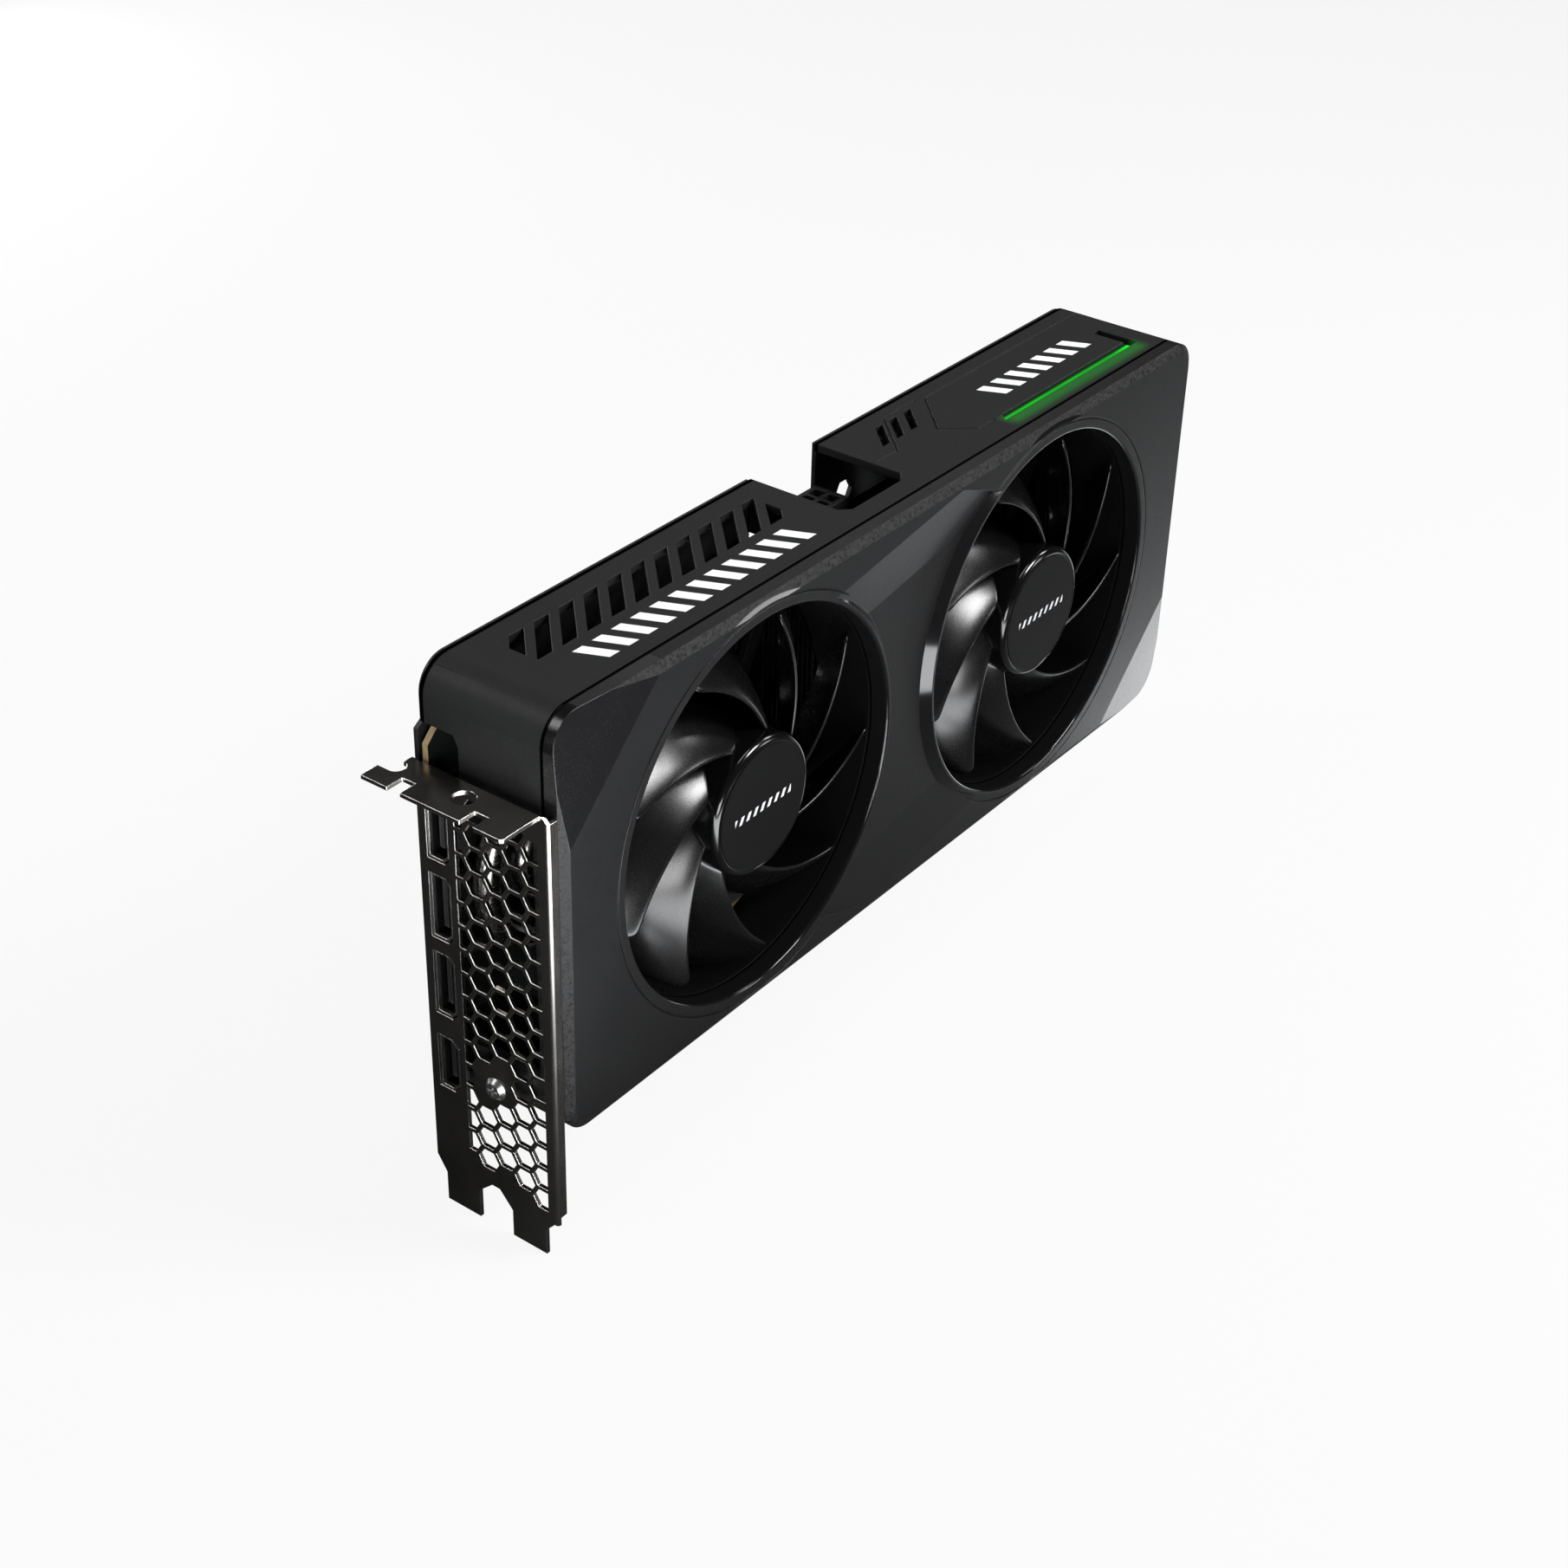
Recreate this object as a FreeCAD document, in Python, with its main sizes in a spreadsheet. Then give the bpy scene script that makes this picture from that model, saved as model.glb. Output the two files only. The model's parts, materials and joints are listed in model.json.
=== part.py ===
"""Dual-fan graphics card, modelled as the separate pieces it is assembled from.

Card datum: x is measured from the outer face of the slot bracket towards the tail,
depth is measured from the bracket's back edge towards the fans (so depth = -Y),
z is measured up from the top of the bracket's tab.  Every piece is then placed so
that the origin is the round screw hole of the tab, on the tab's seating side.
"""
import FreeCAD
import Part
import Sketcher
import math
import os

V = FreeCAD.Vector
doc = FreeCAD.newDocument("graphics_card")

# ---------------------------------------------------------------- driving sizes
SIZES = {
    # slot bracket, full height and two slots wide
    "sheet": 1.0,
    "bracket_bottom": 120.02,
    "bracket_width": 37.4,
    "bracket_edge": 0.3,
    "shoulder_start": 107.7,
    "shoulder_end": 112.0,
    "tongue_width": 10.2,
    "tongue_offset": 3.1,
    "slot_pitch": 20.32,
    "flange_depth": 2.9,
    "tab_depth": 11.43,
    "tab_front": 35.2,
    "tab_fin": 4.0,
    "hole_from_face": 4.5,
    "hole_from_back": 18.6,
    "hole_radius": 2.75,
    "notch_radius": 2.2,
    "cell_pitch": 6.3,
    "cell_web": 1.0,
    "cell_top": 6.7,
    "grille_left": 10.9,
    "grille_right": 34.4,
    "grille_column": 16.65,
    "boss_depth": 19.7,
    "boss_down": 79.0,
    "boss_radius": 4.2,
    # video ports
    "port_back": 2.9,
    "port_width": 5.8,
    "port_gap": 0.3,
    "dp_down": 15.2,
    "dp_pitch": 20.8,
    "dp_height": 16.6,
    "hdmi_down": 78.8,
    "hdmi_height": 14.2,
    "port_length": 18.0,
    "port_wall": 0.4,
    # circuit board
    "board_back": 1.33,
    "board_thickness": 1.57,
    "board_start": 1.6,
    "board_end": 150.0,
    "board_top": 7.0,
    "board_bottom": 93.0,
    "edge_start": 45.1,
    "edge_length": 84.8,
    "edge_bottom": 101.2,
    "key_offset": 12.6,
    "key_width": 1.9,
    "contact_width": 0.7,
    "contact_length": 5.6,
    "contact_skin": 0.05,
    # processor, memory and power stage
    "gpu_x": 86.0,
    "gpu_down": 40.0,
    "gpu_side": 37.5,
    "gpu_rise": 1.2,
    "die_side": 17.0,
    "die_rise": 0.8,
    "memory_long": 14.0,
    "memory_short": 12.0,
    "memory_rise": 1.1,
    "choke_side": 8.2,
    "choke_rise": 4.0,
    "choke_x": 138.5,
    "choke_start": 14.0,
    "choke_pitch": 10.2,
    "can_radius": 3.1,
    "can_rise": 5.0,
    # cooler
    "plate_front": 8.9,
    "plate_long": 80.0,
    "plate_high": 66.0,
    "pipe_radius": 3.0,
    "pipe_depth": 11.9,
    "pipe_spread": 21.0,
    "pipe_inner_spread": 9.0,
    "pipe_end": 248.0,
    "pipe_clear": 0.05,
    "fin_front": 17.8,
    "fin_start": 30.0,
    "fin_end": 171.0,
    "fin_top": 8.0,
    "notch_left": 116.0,
    "fin_bottom": 74.6,
    "fin_pitch": 2.0,
    "fin_sheet": 0.4,
    "tail_start": 178.0,
    "tail_end": 250.0,
    "tail_back": 2.0,
    # covers
    "card_left": 3.1,
    "card_right": 259.0,
    "roof": 21.4,
    "floor": 86.5,
    "corner": 8.0,
    "wall": 2.0,
    "seam_depth": 33.5,
    "front_depth": 38.6,
    "plate_sheet": 1.2,
    "plate_inner": 0.3,
    # fans
    "fan_x": 72.1,
    "fan_pitch": 118.2,
    "fan_down": 32.6,
    "opening_radius": 48.8,
    "rim_round": 0.9,
    "ring_radius": 50.1,
    "wall_slope": 1.1,
    "groove_radius": 51.6,
    "panel_depth": 2.2,
    "panel_ramp": 14.0,
    "facet_crease": 10.9,
    "facet_drop": 2.9,
    "facet_reach": 28.0,
    "bevel_down": 2.3,
    "bevel_deep": 1.25,
    "duct_radius": 48.4,
    "hub_radius": 17.6,
    "hub_front": 38.4,
    "hub_back": 20.4,
    "cup_face": 2.2,
    "bearing_back": 18.0,
    "bearing_front": 32.5,
    "shaft_back": 20.2,
    "label_radius": 15.5,
    "label_sheet": 0.15,
    "blade_radius": 46.6,
    "blade_front": 35.7,
    "blade_back": 21.6,
    "blade_twist": 27.0,
    "blade_sheet": 1.2,
    "blade_count": 9,
    "shaft_radius": 1.5,
    "bearing_gap": 0.03,
}

sheet = doc.addObject("Spreadsheet::Sheet", "Sizes")
for row, (name, value) in enumerate(SIZES.items(), start=1):
    sheet.set(f"A{row}", name)
    sheet.set(f"B{row}", str(value))
    sheet.setAlias(f"B{row}", name)
doc.recompute()


def number(formula):
    """Present value of a formula written with the sheet's names."""
    if isinstance(formula, (int, float)):
        return float(formula)
    result = sheet.evalExpression(named(formula))
    return float(getattr(result, "Value", result))


def named(formula):
    """Turns the plain size names in a formula into references to the sheet."""
    if isinstance(formula, (int, float)):
        return repr(float(formula))
    words = []
    word = ""
    for letter in formula + " ":
        if letter.isalnum() or letter in "_.":
            word += letter
        else:
            words.append(f"Sizes.{word}" if word in SIZES else word)
            words.append(letter)
            word = ""
    return "".join(words).strip()


def tie(item, path, formula):
    """Drives a property from the sheet."""
    item.setExpression(path, named(formula))


# ---------------------------------------------------------------- drawing tools
PIECES = []


def place(item, label, x=0, z=0):
    """Names a piece and moves it from the card datum to the part's origin."""
    item.Label = label
    tie(item, "Placement.Base.x", f"hole_from_face + {x}")
    tie(item, "Placement.Base.y", "hole_from_back + 0")
    tie(item, "Placement.Base.z", f"sheet + {z}")
    PIECES.append(item)
    return item


def new_body(name):
    body = doc.addObject("PartDesign::Body", name + "_body")
    body.AllowCompound = True
    return body


def origin_feature(body, role):
    return next(f for f in body.Origin.OriginFeatures if f.Role == role)


def sketch_on(body, plane, offset=0):
    """Sketch on an origin plane: XZ offsets run to the fans, YZ to the tail, XY up."""
    drawing = body.newObject("Sketcher::SketchObject", body.Name + "_sketch")
    drawing.AttachmentSupport = (origin_feature(body, plane + "_Plane"), "")
    drawing.MapMode = "FlatFace"
    tie(drawing, "AttachmentOffset.Base.z", offset)
    return drawing


def outline(drawing, corners):
    """Closed loop of straight edges through corners given as pairs of formulas."""
    first = drawing.GeometryCount
    known = drawing.ConstraintCount
    points = [V(number(u), number(v), 0) for u, v in corners]
    count = len(points)
    drawing.addGeometry([Part.LineSegment(points[k], points[(k + 1) % count]) for k in range(count)], False)
    rules = [Sketcher.Constraint("Coincident", first + k, 2, first + (k + 1) % count, 1)
             for k in range(count)]
    formulas = []
    for k, (u, v) in enumerate(corners):
        for kind, formula, value in (("DistanceX", u, points[k].x), ("DistanceY", v, points[k].y)):
            if not isinstance(formula, (int, float)):
                formulas.append((known + len(rules), formula))
            rules.append(Sketcher.Constraint(kind, -1, 1, first + k, 1, value))
    drawing.addConstraint(rules)
    for where, formula in formulas:
        tie(drawing, f"Constraints[{where}]", formula)


def circle(drawing, u, v, radius):
    """Circle whose centre and radius are formulas."""
    centre = V(number(u), number(v), 0)
    where = drawing.addGeometry(Part.Circle(centre, V(0, 0, 1), number(radius)), False)
    size = drawing.addConstraint(Sketcher.Constraint("Radius", where, number(radius)))
    tie(drawing, f"Constraints[{size}]", radius)
    for kind, formula, value in (("DistanceX", u, centre.x), ("DistanceY", v, centre.y)):
        where_c = drawing.addConstraint(Sketcher.Constraint(kind, -1, 1, where, 3, value))
        if not isinstance(formula, (int, float)):
            tie(drawing, f"Constraints[{where_c}]", formula)


def box_corners(u0, u1, v0, v1):
    return [(u0, v0), (u1, v0), (u1, v1), (u0, v1)]


def pad(body, drawing, length):
    feature = body.newObject("PartDesign::Pad", body.Name + "_pad")
    feature.Profile = drawing
    tie(feature, "Length", length)
    drawing.Visibility = False
    doc.recompute()
    return feature


def cut(body, drawing, depth=None, outward=False):
    """Pocket from the sketch against its normal, or along it when outward."""
    feature = body.newObject("PartDesign::Pocket", body.Name + "_cut")
    feature.Profile = drawing
    feature.Reversed = outward
    before = body.Tip.Shape.Volume if body.Tip and body.Tip != feature else None
    if depth is None:
        feature.Type = "ThroughAll"
    else:
        tie(feature, "Length", depth)
    doc.recompute()
    if before is None:
        before = feature.BaseFeature.Shape.Volume
    if abs(before - feature.Shape.Volume) < 1e-6:
        raise RuntimeError(f"{feature.Name} removes nothing")
    return feature


def revolve(body, drawing, axis="Y_Axis"):
    feature = body.newObject("PartDesign::Revolution", body.Name + "_turned")
    feature.Profile = drawing
    feature.ReferenceAxis = (origin_feature(body, axis), [""])
    feature.Angle = 360.0
    doc.recompute()
    return feature


def repeat(body, features, axis, step, count):
    """Straight row of copies of the features along an axis of the body."""
    feature = body.newObject("PartDesign::LinearPattern", body.Name + "_row")
    feature.Originals = features
    feature.Direction = (origin_feature(body, axis), [""])
    tie(feature, "Length", f"({step}) * ({count} - 1)")
    feature.Occurrences = int(number(count))
    body.Tip = feature
    doc.recompute()
    return feature


def edges_where(feature, test):
    """Names of the edges of a feature whose middle point and direction pass a test."""
    names = []
    for k, edge in enumerate(feature.Shape.Edges, start=1):
        middle = edge.valueAt((edge.FirstParameter + edge.LastParameter) / 2)
        if test(edge, middle):
            names.append(f"Edge{k}")
    return names


def soften(body, base, names, radius, kind="Fillet"):
    feature = body.newObject("PartDesign::" + kind, body.Name + "_soft")
    feature.Base = (base, names)
    tie(feature, "Radius" if kind == "Fillet" else "Size", radius)
    doc.recompute()
    return feature


def runs_along(edge, axis):
    """True for a straight edge parallel to the axis."""
    if len(edge.Vertexes) != 2 or edge.Curve.TypeId != "Part::GeomLine":
        return False
    return abs(abs(edge.Curve.Direction.dot(axis)) - 1) < 1e-3


def block(x, depth, z, long, deep, high):
    """Upright box: x and z are its centre, depth its back face, deep its rise to the fans."""
    item = doc.addObject("Part::Box", "block")
    tie(item, "Length", long)
    tie(item, "Width", deep)
    tie(item, "Height", high)
    tie(item, "Placement.Base.x", f"({x}) - ({long}) / 2")
    tie(item, "Placement.Base.y", f"-({depth}) - ({deep})")
    tie(item, "Placement.Base.z", f"({z}) - ({high}) / 2")
    return item


def rod(x, depth, z, radius, deep):
    """Cylinder standing on depth and rising towards the fans."""
    item = doc.addObject("Part::Cylinder", "rod")
    tie(item, "Radius", radius)
    tie(item, "Height", deep)
    item.Placement.Rotation = FreeCAD.Rotation(V(1, 0, 0), 90)
    tie(item, "Placement.Base.x", x)
    tie(item, "Placement.Base.y", f"-({depth})")
    tie(item, "Placement.Base.z", z)
    return item


def join(items):
    feature = doc.addObject("Part::MultiFuse", "joined")
    feature.Shapes = items
    return feature


def minus(base, tool):
    feature = doc.addObject("Part::Cut", "trimmed")
    feature.Base = base
    feature.Tool = tool
    return feature


def group(label, items, x=0, z=0):
    """Separate solids that are handled as one piece, such as a set of screws."""
    feature = doc.addObject("Part::Compound", label + "_set")
    feature.Links = items
    return place(feature, label, x, z)


def strip_corners(points, width):
    """Outline of a thin strip of a given width along a path of numeric points."""
    left = []
    right = []
    for k, point in enumerate(points):
        before = points[max(k - 1, 0)]
        after = points[min(k + 1, len(points) - 1)]
        along = V(after[0] - before[0], after[1] - before[1], 0).normalize()
        left.append((point[0] - along.y * width / 2, point[1] + along.x * width / 2))
        right.append((point[0] + along.y * width / 2, point[1] - along.x * width / 2))
    return left + right[::-1]


# ---------------------------------------------------------------- slot bracket
def bracket_outline():
    """Face of the bracket with its two slot tongues, as (y, z) corners."""
    second = "(tongue_offset + slot_pitch)"
    return [
        ("-bracket_edge", 0),
        ("-bracket_edge", "-shoulder_start"),
        ("-tongue_offset", "-shoulder_end"),
        ("-tongue_offset", "-bracket_bottom"),
        ("-tongue_offset - tongue_width", "-bracket_bottom"),
        ("-tongue_offset - tongue_width", "-shoulder_end"),
        ("-tongue_offset - tongue_width - 4", "-shoulder_end + 3.7"),
        (f"-{second} + 3.8", "-shoulder_end + 3.7"),
        (f"-{second}", "-shoulder_end - 0.6"),
        (f"-{second}", "-bracket_bottom"),
        (f"-{second} - tongue_width", "-bracket_bottom"),
        (f"-{second} - tongue_width", "-shoulder_end - 0.8"),
        ("-bracket_width + 1.2", "-shoulder_end + 2.1"),
        ("-bracket_width", "-shoulder_end + 2.1"),
        ("-bracket_width", "-1.6"),
        ("-bracket_width + 1.6", 0),
    ]


def tab_outline():
    """Screw tab seen from above, as (x, y) corners."""
    inner = "-6.8"
    return [
        ("sheet", 0.7),
        (-2.1, 0.7),
        (-6.5, 0.7),
        (-6.5, "tab_fin"),
        ("-tab_depth", "tab_fin"),
        ("-tab_depth", -3.4),
        (inner, -3.4),
        (inner, -7.2),
        ("-tab_depth", -7.2),
        ("-tab_depth", "-3.4 - slot_pitch"),
        (inner, "-3.4 - slot_pitch"),
        (inner, "-7.2 - slot_pitch"),
        ("-tab_depth", "-7.2 - slot_pitch"),
        ("-tab_depth", "-tab_front + 0.6"),
        ("-tab_depth + 0.6", "-tab_front"),
        ("sheet", "-tab_front"),
    ]


def port_corners(middle, height, width, gap, clip):
    """Six-sided port outline on the bracket face, clipped at the two front corners."""
    back = f"-port_back + {gap}"
    front = f"-port_back - {width} - {gap}"
    top = f"-{middle} + {height} / 2 + {gap}"
    low = f"-{middle} - {height} / 2 - {gap}"
    return [
        (back, top),
        (back, low),
        (f"{front} + {clip}", low),
        (front, f"{low} + {clip}"),
        (front, f"{top} - {clip}"),
        (f"{front} + {clip}", top),
    ]


def hexagon(u, v, span):
    """Cell of the air grille with two points along the card's depth."""
    across = f"({span}) / 2"
    point = f"({span}) / sqrt(3)"
    return [
        (f"{u} + {point}", v),
        (f"{u} + {point} / 2", f"{v} + {across}"),
        (f"{u} - {point} / 2", f"{v} + {across}"),
        (f"{u} - {point}", v),
        (f"{u} - {point} / 2", f"{v} - {across}"),
        (f"{u} + {point} / 2", f"{v} - {across}"),
    ]


def make_bracket():
    body = new_body("io_bracket")
    face = sketch_on(body, "YZ")
    outline(face, bracket_outline())
    pad(body, face, "sheet")

    tab = sketch_on(body, "XY", "-sheet")
    outline(tab, tab_outline())
    pad(body, tab, "sheet")

    flange = sketch_on(body, "YZ", "sheet")
    outline(flange, [
        ("-bracket_width", "-1.6"),
        ("-bracket_width + sheet", "-1.6"),
        ("-bracket_width + sheet", "-shoulder_end + 4.2"),
        ("-bracket_width", "-shoulder_end + 4.2"),
    ])
    joined = pad(body, flange, "flange_depth - sheet")

    folded = edges_where(joined, lambda e, m: (
        (runs_along(e, V(0, 0, 1)) and abs(m.x) < 0.01 and abs(m.y + number("bracket_width")) < 0.01)
        or (runs_along(e, V(0, 1, 0)) and abs(m.z) < 0.01 and abs(m.x - number("sheet")) < 0.01)))
    soften(body, joined, folded, "sheet * 0.9")

    holes = sketch_on(body, "XY", 0)
    circle(holes, "-hole_from_face", "-hole_from_back", "hole_radius")
    circle(holes, "-2.1 - notch_radius", "0.7", "notch_radius")
    cut(body, holes)

    ports = sketch_on(body, "YZ", "sheet")
    for k in range(3):
        down = f"(dp_down + {k} * dp_pitch)"
        outline(ports, port_corners(down, "dp_height", "port_width", "port_gap", 1.4))
    outline(ports, port_corners("hdmi_down", "hdmi_height", "port_width", "port_gap", 1.8))
    cut(body, ports)
    make_grille(body)
    return place(body, "io_bracket")


def make_grille(body):
    """Hexagonal air grille: columns of cells, every second column half a pitch lower."""
    column_step = "cell_pitch * sqrt(3) / 2"
    span = "(cell_pitch - cell_web)"
    cells = 15
    boss = V(-number("boss_depth"), -number("boss_down"), 0)
    grille = sketch_on(body, "YZ", "sheet")
    extra_rows = {0: 1, 2: 1, 3: 1}
    for column in range(-1, 4):
        shifted = column % 2 != 0
        across = f"-grille_column - {column} * {column_step}"
        start = "-cell_top - cell_pitch / 2" if shifted else "-cell_top"
        for row in range(cells + extra_rows.get(column, 0)):
            height = f"{start} - {row} * cell_pitch"
            middle = V(number(across), number(height), 0)
            if middle.distanceToPoint(boss) < number("boss_radius + cell_pitch / 2 - 0.6"):
                continue
            corners = [(number(u), number(v)) for u, v in hexagon(across, height, span)]
            outline(grille, clipped(corners, -number("grille_right"), -number("grille_left")))
    cut(body, grille)

    screw_hole = sketch_on(body, "YZ", "sheet")
    circle(screw_hole, "-boss_depth", "-boss_down", 1.6)
    cut(body, screw_hole)


def clipped(corners, low, high):
    """Part of a convex loop with its first coordinate between two limits."""
    for limit, keep in ((low, 1), (high, -1)):
        kept = []
        for k, (u, v) in enumerate(corners):
            u2, v2 = corners[(k + 1) % len(corners)]
            inside = (u - limit) * keep >= 0
            inside2 = (u2 - limit) * keep >= 0
            if inside:
                kept.append((u, v))
            if inside != inside2:
                share = (limit - u) / (u2 - u)
                kept.append((limit, v + share * (v2 - v)))
        corners = kept
    return corners


# ---------------------------------------------------------------- video ports
def make_port(label, middle, height, clip):
    """Folded metal shell of a video socket, open towards the bracket."""
    body = new_body(label)
    shell = sketch_on(body, "YZ", 0.2)
    outline(shell, port_corners(middle, height, "port_width", 0, clip))
    pad(body, shell, "port_length")
    mouth = sketch_on(body, "YZ", 0.2)
    outline(mouth, port_corners(middle, height, "port_width", "-port_wall", clip))
    cut(body, mouth, "port_length - 1.5", outward=True)
    return place(body, label)


def make_inserts(label, downs, height):
    """Plastic contact tongues standing in the sockets."""
    tongues = []
    for down in downs:
        tongue = doc.addObject("Part::Box", "tongue")
        tie(tongue, "Length", "port_length - 3.2")
        tie(tongue, "Width", 1.4)
        tie(tongue, "Height", f"{height} - 4.4")
        tie(tongue, "Placement.Base.x", 1.9)
        tie(tongue, "Placement.Base.y", "-port_back - port_width / 2 - 0.3")
        tie(tongue, "Placement.Base.z", f"-{down} - ({height} - 4.4) / 2")
        tongues.append(tongue)
    return group(label, tongues)


# ---------------------------------------------------------------- circuit board
GPU_STUDS = [(-30, -30), (30, -30), (30, 30), (-30, 30)]
BOARD_SCREWS = [(26, -80), (108, -80)]
BACK_SCREWS = BOARD_SCREWS + [(10, 14), (176, -80), (252, -78), (252, 14), (162, 15)]
FRONT_SCREWS = [(10.5, 8), (24, -80), (251.5, -60), (238, 14)]
FAN_ARMS = [45, 135, 225, 315]


def make_board():
    body = new_body("pcb")
    board = sketch_on(body, "XZ", "board_back")
    outline(board, [
        ("board_start", "-board_bottom"),
        ("edge_start", "-board_bottom"),
        ("edge_start", "-edge_bottom + 0.8"),
        ("edge_start + 0.8", "-edge_bottom"),
        ("edge_start + key_offset - key_width / 2", "-edge_bottom"),
        ("edge_start + key_offset - key_width / 2", "-edge_bottom + 7.6"),
        ("edge_start + key_offset + key_width / 2", "-edge_bottom + 7.6"),
        ("edge_start + key_offset + key_width / 2", "-edge_bottom"),
        ("edge_start + edge_length - 0.8", "-edge_bottom"),
        ("edge_start + edge_length", "-edge_bottom + 0.8"),
        ("edge_start + edge_length", "-board_bottom + 2"),
        ("edge_start + edge_length + 2", "-board_bottom + 2"),
        ("edge_start + edge_length + 2", "-edge_bottom + 4"),
        ("edge_start + edge_length + 6", "-edge_bottom + 4"),
        ("edge_start + edge_length + 8", "-board_bottom + 4"),
        ("board_end", "-board_bottom + 4"),
        ("board_end", "board_top - 4"),
        ("board_end - 4", "board_top"),
        ("board_start + 3.5", "board_top"),
        ("board_start", "board_top - 3.5"),
    ])
    pad(body, board, "board_thickness")
    holes = sketch_on(body, "XZ", "board_back + board_thickness")
    for u, v in GPU_STUDS:
        circle(holes, f"gpu_x + {u}", f"-gpu_down + {v}", 1.7)
    for u, v in BOARD_SCREWS:
        circle(holes, u, v, 1.7)
    cut(body, holes)
    return place(body, "pcb")


def make_contacts():
    """Gold fingers on both faces of the card edge, in two runs either side of the key."""
    fingers = []
    for count, start in ((11, "edge_start + 1.0"), (70, "edge_start + key_offset + key_width / 2 + 0.9")):
        for side in ("board_back - contact_skin", "board_back + board_thickness"):
            for k in range(count):
                fingers.append(block(f"{start} + {k}", side, "-edge_bottom + 1 + contact_length / 2",
                                     "contact_width", "contact_skin", "contact_length"))
    return group("edge_contacts", fingers)


BOARD_FACE = "board_back + board_thickness"


def make_chips():
    gpu = block("gpu_x", BOARD_FACE, "-gpu_down", "gpu_side", "gpu_rise", "gpu_side")
    place(minus(gpu, block("gpu_x", BOARD_FACE + " + gpu_rise - 0.25", "-gpu_down",
                           "gpu_side - 5", 1, "gpu_side - 5")), "gpu_package")
    die = block("gpu_x", BOARD_FACE + " + gpu_rise - 0.25", "-gpu_down", "die_side",
                "die_rise + 0.25", "die_side")
    group("gpu_die", [die])

    chips = []
    pads = []
    for u, v, long, high in MEMORY:
        chips.append(block(f"gpu_x + {u}", BOARD_FACE, f"-gpu_down + {v}", long, "memory_rise", high))
        pads.append(block(f"gpu_x + {u}", BOARD_FACE + " + memory_rise", f"-gpu_down + {v}",
                          f"{long} - 1", "gpu_rise + die_rise - memory_rise", f"{high} - 1"))
    group("memory_chips", chips)
    group("thermal_pads", pads)


MEMORY = [
    (-29.5, -11, "memory_short", "memory_long"),
    (-29.5, 8, "memory_short", "memory_long"),
    (-11, 26, "memory_long", "memory_short"),
    (10, 26, "memory_long", "memory_short"),
]


def make_power_stage():
    chokes = []
    switches = []
    cans = []
    for k in range(7):
        height = f"-choke_start - {k} * choke_pitch"
        chokes.append(block("choke_x", BOARD_FACE, height, "choke_side", "choke_rise", "choke_side"))
        switches.append(block("choke_x - 7.2", BOARD_FACE, height, 5, 0.9, 6))
        cans.append(rod("choke_x + 7.6", BOARD_FACE, height, "can_radius", "can_rise"))
    group("power_chokes", chokes)
    group("power_switches", switches)
    group("capacitors", cans)


def make_power_socket():
    """Eight-way supply socket on the board's top edge, open upwards."""
    body = new_body("power_connector")
    housing = sketch_on(body, "XZ", BOARD_FACE)
    outline(housing, box_corners("128.5 - 9.4", "128.5 + 9.4", -6, 12.5))
    base = pad(body, housing, 9.8)
    latch = sketch_on(body, "XZ", BOARD_FACE + " + 9.8")
    outline(latch, box_corners(125.5, 131.5, 2, 11))
    pad(body, latch, 1.6)
    ways = sketch_on(body, "XY", 12.5)
    for column in range(4):
        for row in range(2):
            u = f"128.5 + ({column} - 1.5) * 4.2"
            v = f"-({BOARD_FACE}) - 2.7 - {row} * 4.2"
            outline(ways, [
                (f"{u} - 1.7", f"{v} - 1.7"), (f"{u} + 1.7", f"{v} - 1.7"),
                (f"{u} + 1.7", f"{v} + 1.0"), (f"{u} + 1.0", f"{v} + 1.7"),
                (f"{u} - 1.0", f"{v} + 1.7"), (f"{u} - 1.7", f"{v} + 1.0")])
    cut(body, ways, 13)
    place(body, "power_connector")

    pins = []
    for column in range(4):
        for row in range(2):
            pins.append(block(f"128.5 + ({column} - 1.5) * 4.2", f"{BOARD_FACE} + 2.7 - 0.5 + {row} * 4.2",
                              "4.5", 1.0, 1.0, 10))
    group("power_pins", pins)


def make_headers():
    """Two small fan sockets near the board's lower edge."""
    group("fan_headers", [block(x, BOARD_FACE, -81, 8, 3.6, 5.5) for x in (44, 122)])


# ---------------------------------------------------------------- cooler
PIPE_HEIGHTS = ["pipe_spread", "pipe_inner_spread", "-pipe_inner_spread", "-pipe_spread"]


def make_cold_plate():
    body = new_body("cold_plate")
    top = BOARD_FACE + " + gpu_rise + die_rise"
    plate = sketch_on(body, "XZ", top)
    outline(plate, box_corners("gpu_x - plate_long / 2", "gpu_x + plate_long / 2",
                               "-gpu_down - plate_high / 2", "-gpu_down + plate_high / 2"))
    pad(body, plate, f"plate_front - ({top})")
    holes = sketch_on(body, "XZ", top)
    for u, v in GPU_STUDS:
        circle(holes, f"gpu_x + {u}", f"-gpu_down + {v}", 1.3)
    cut(body, holes, 2.4, outward=True)
    return place(body, "cold_plate")


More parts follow.
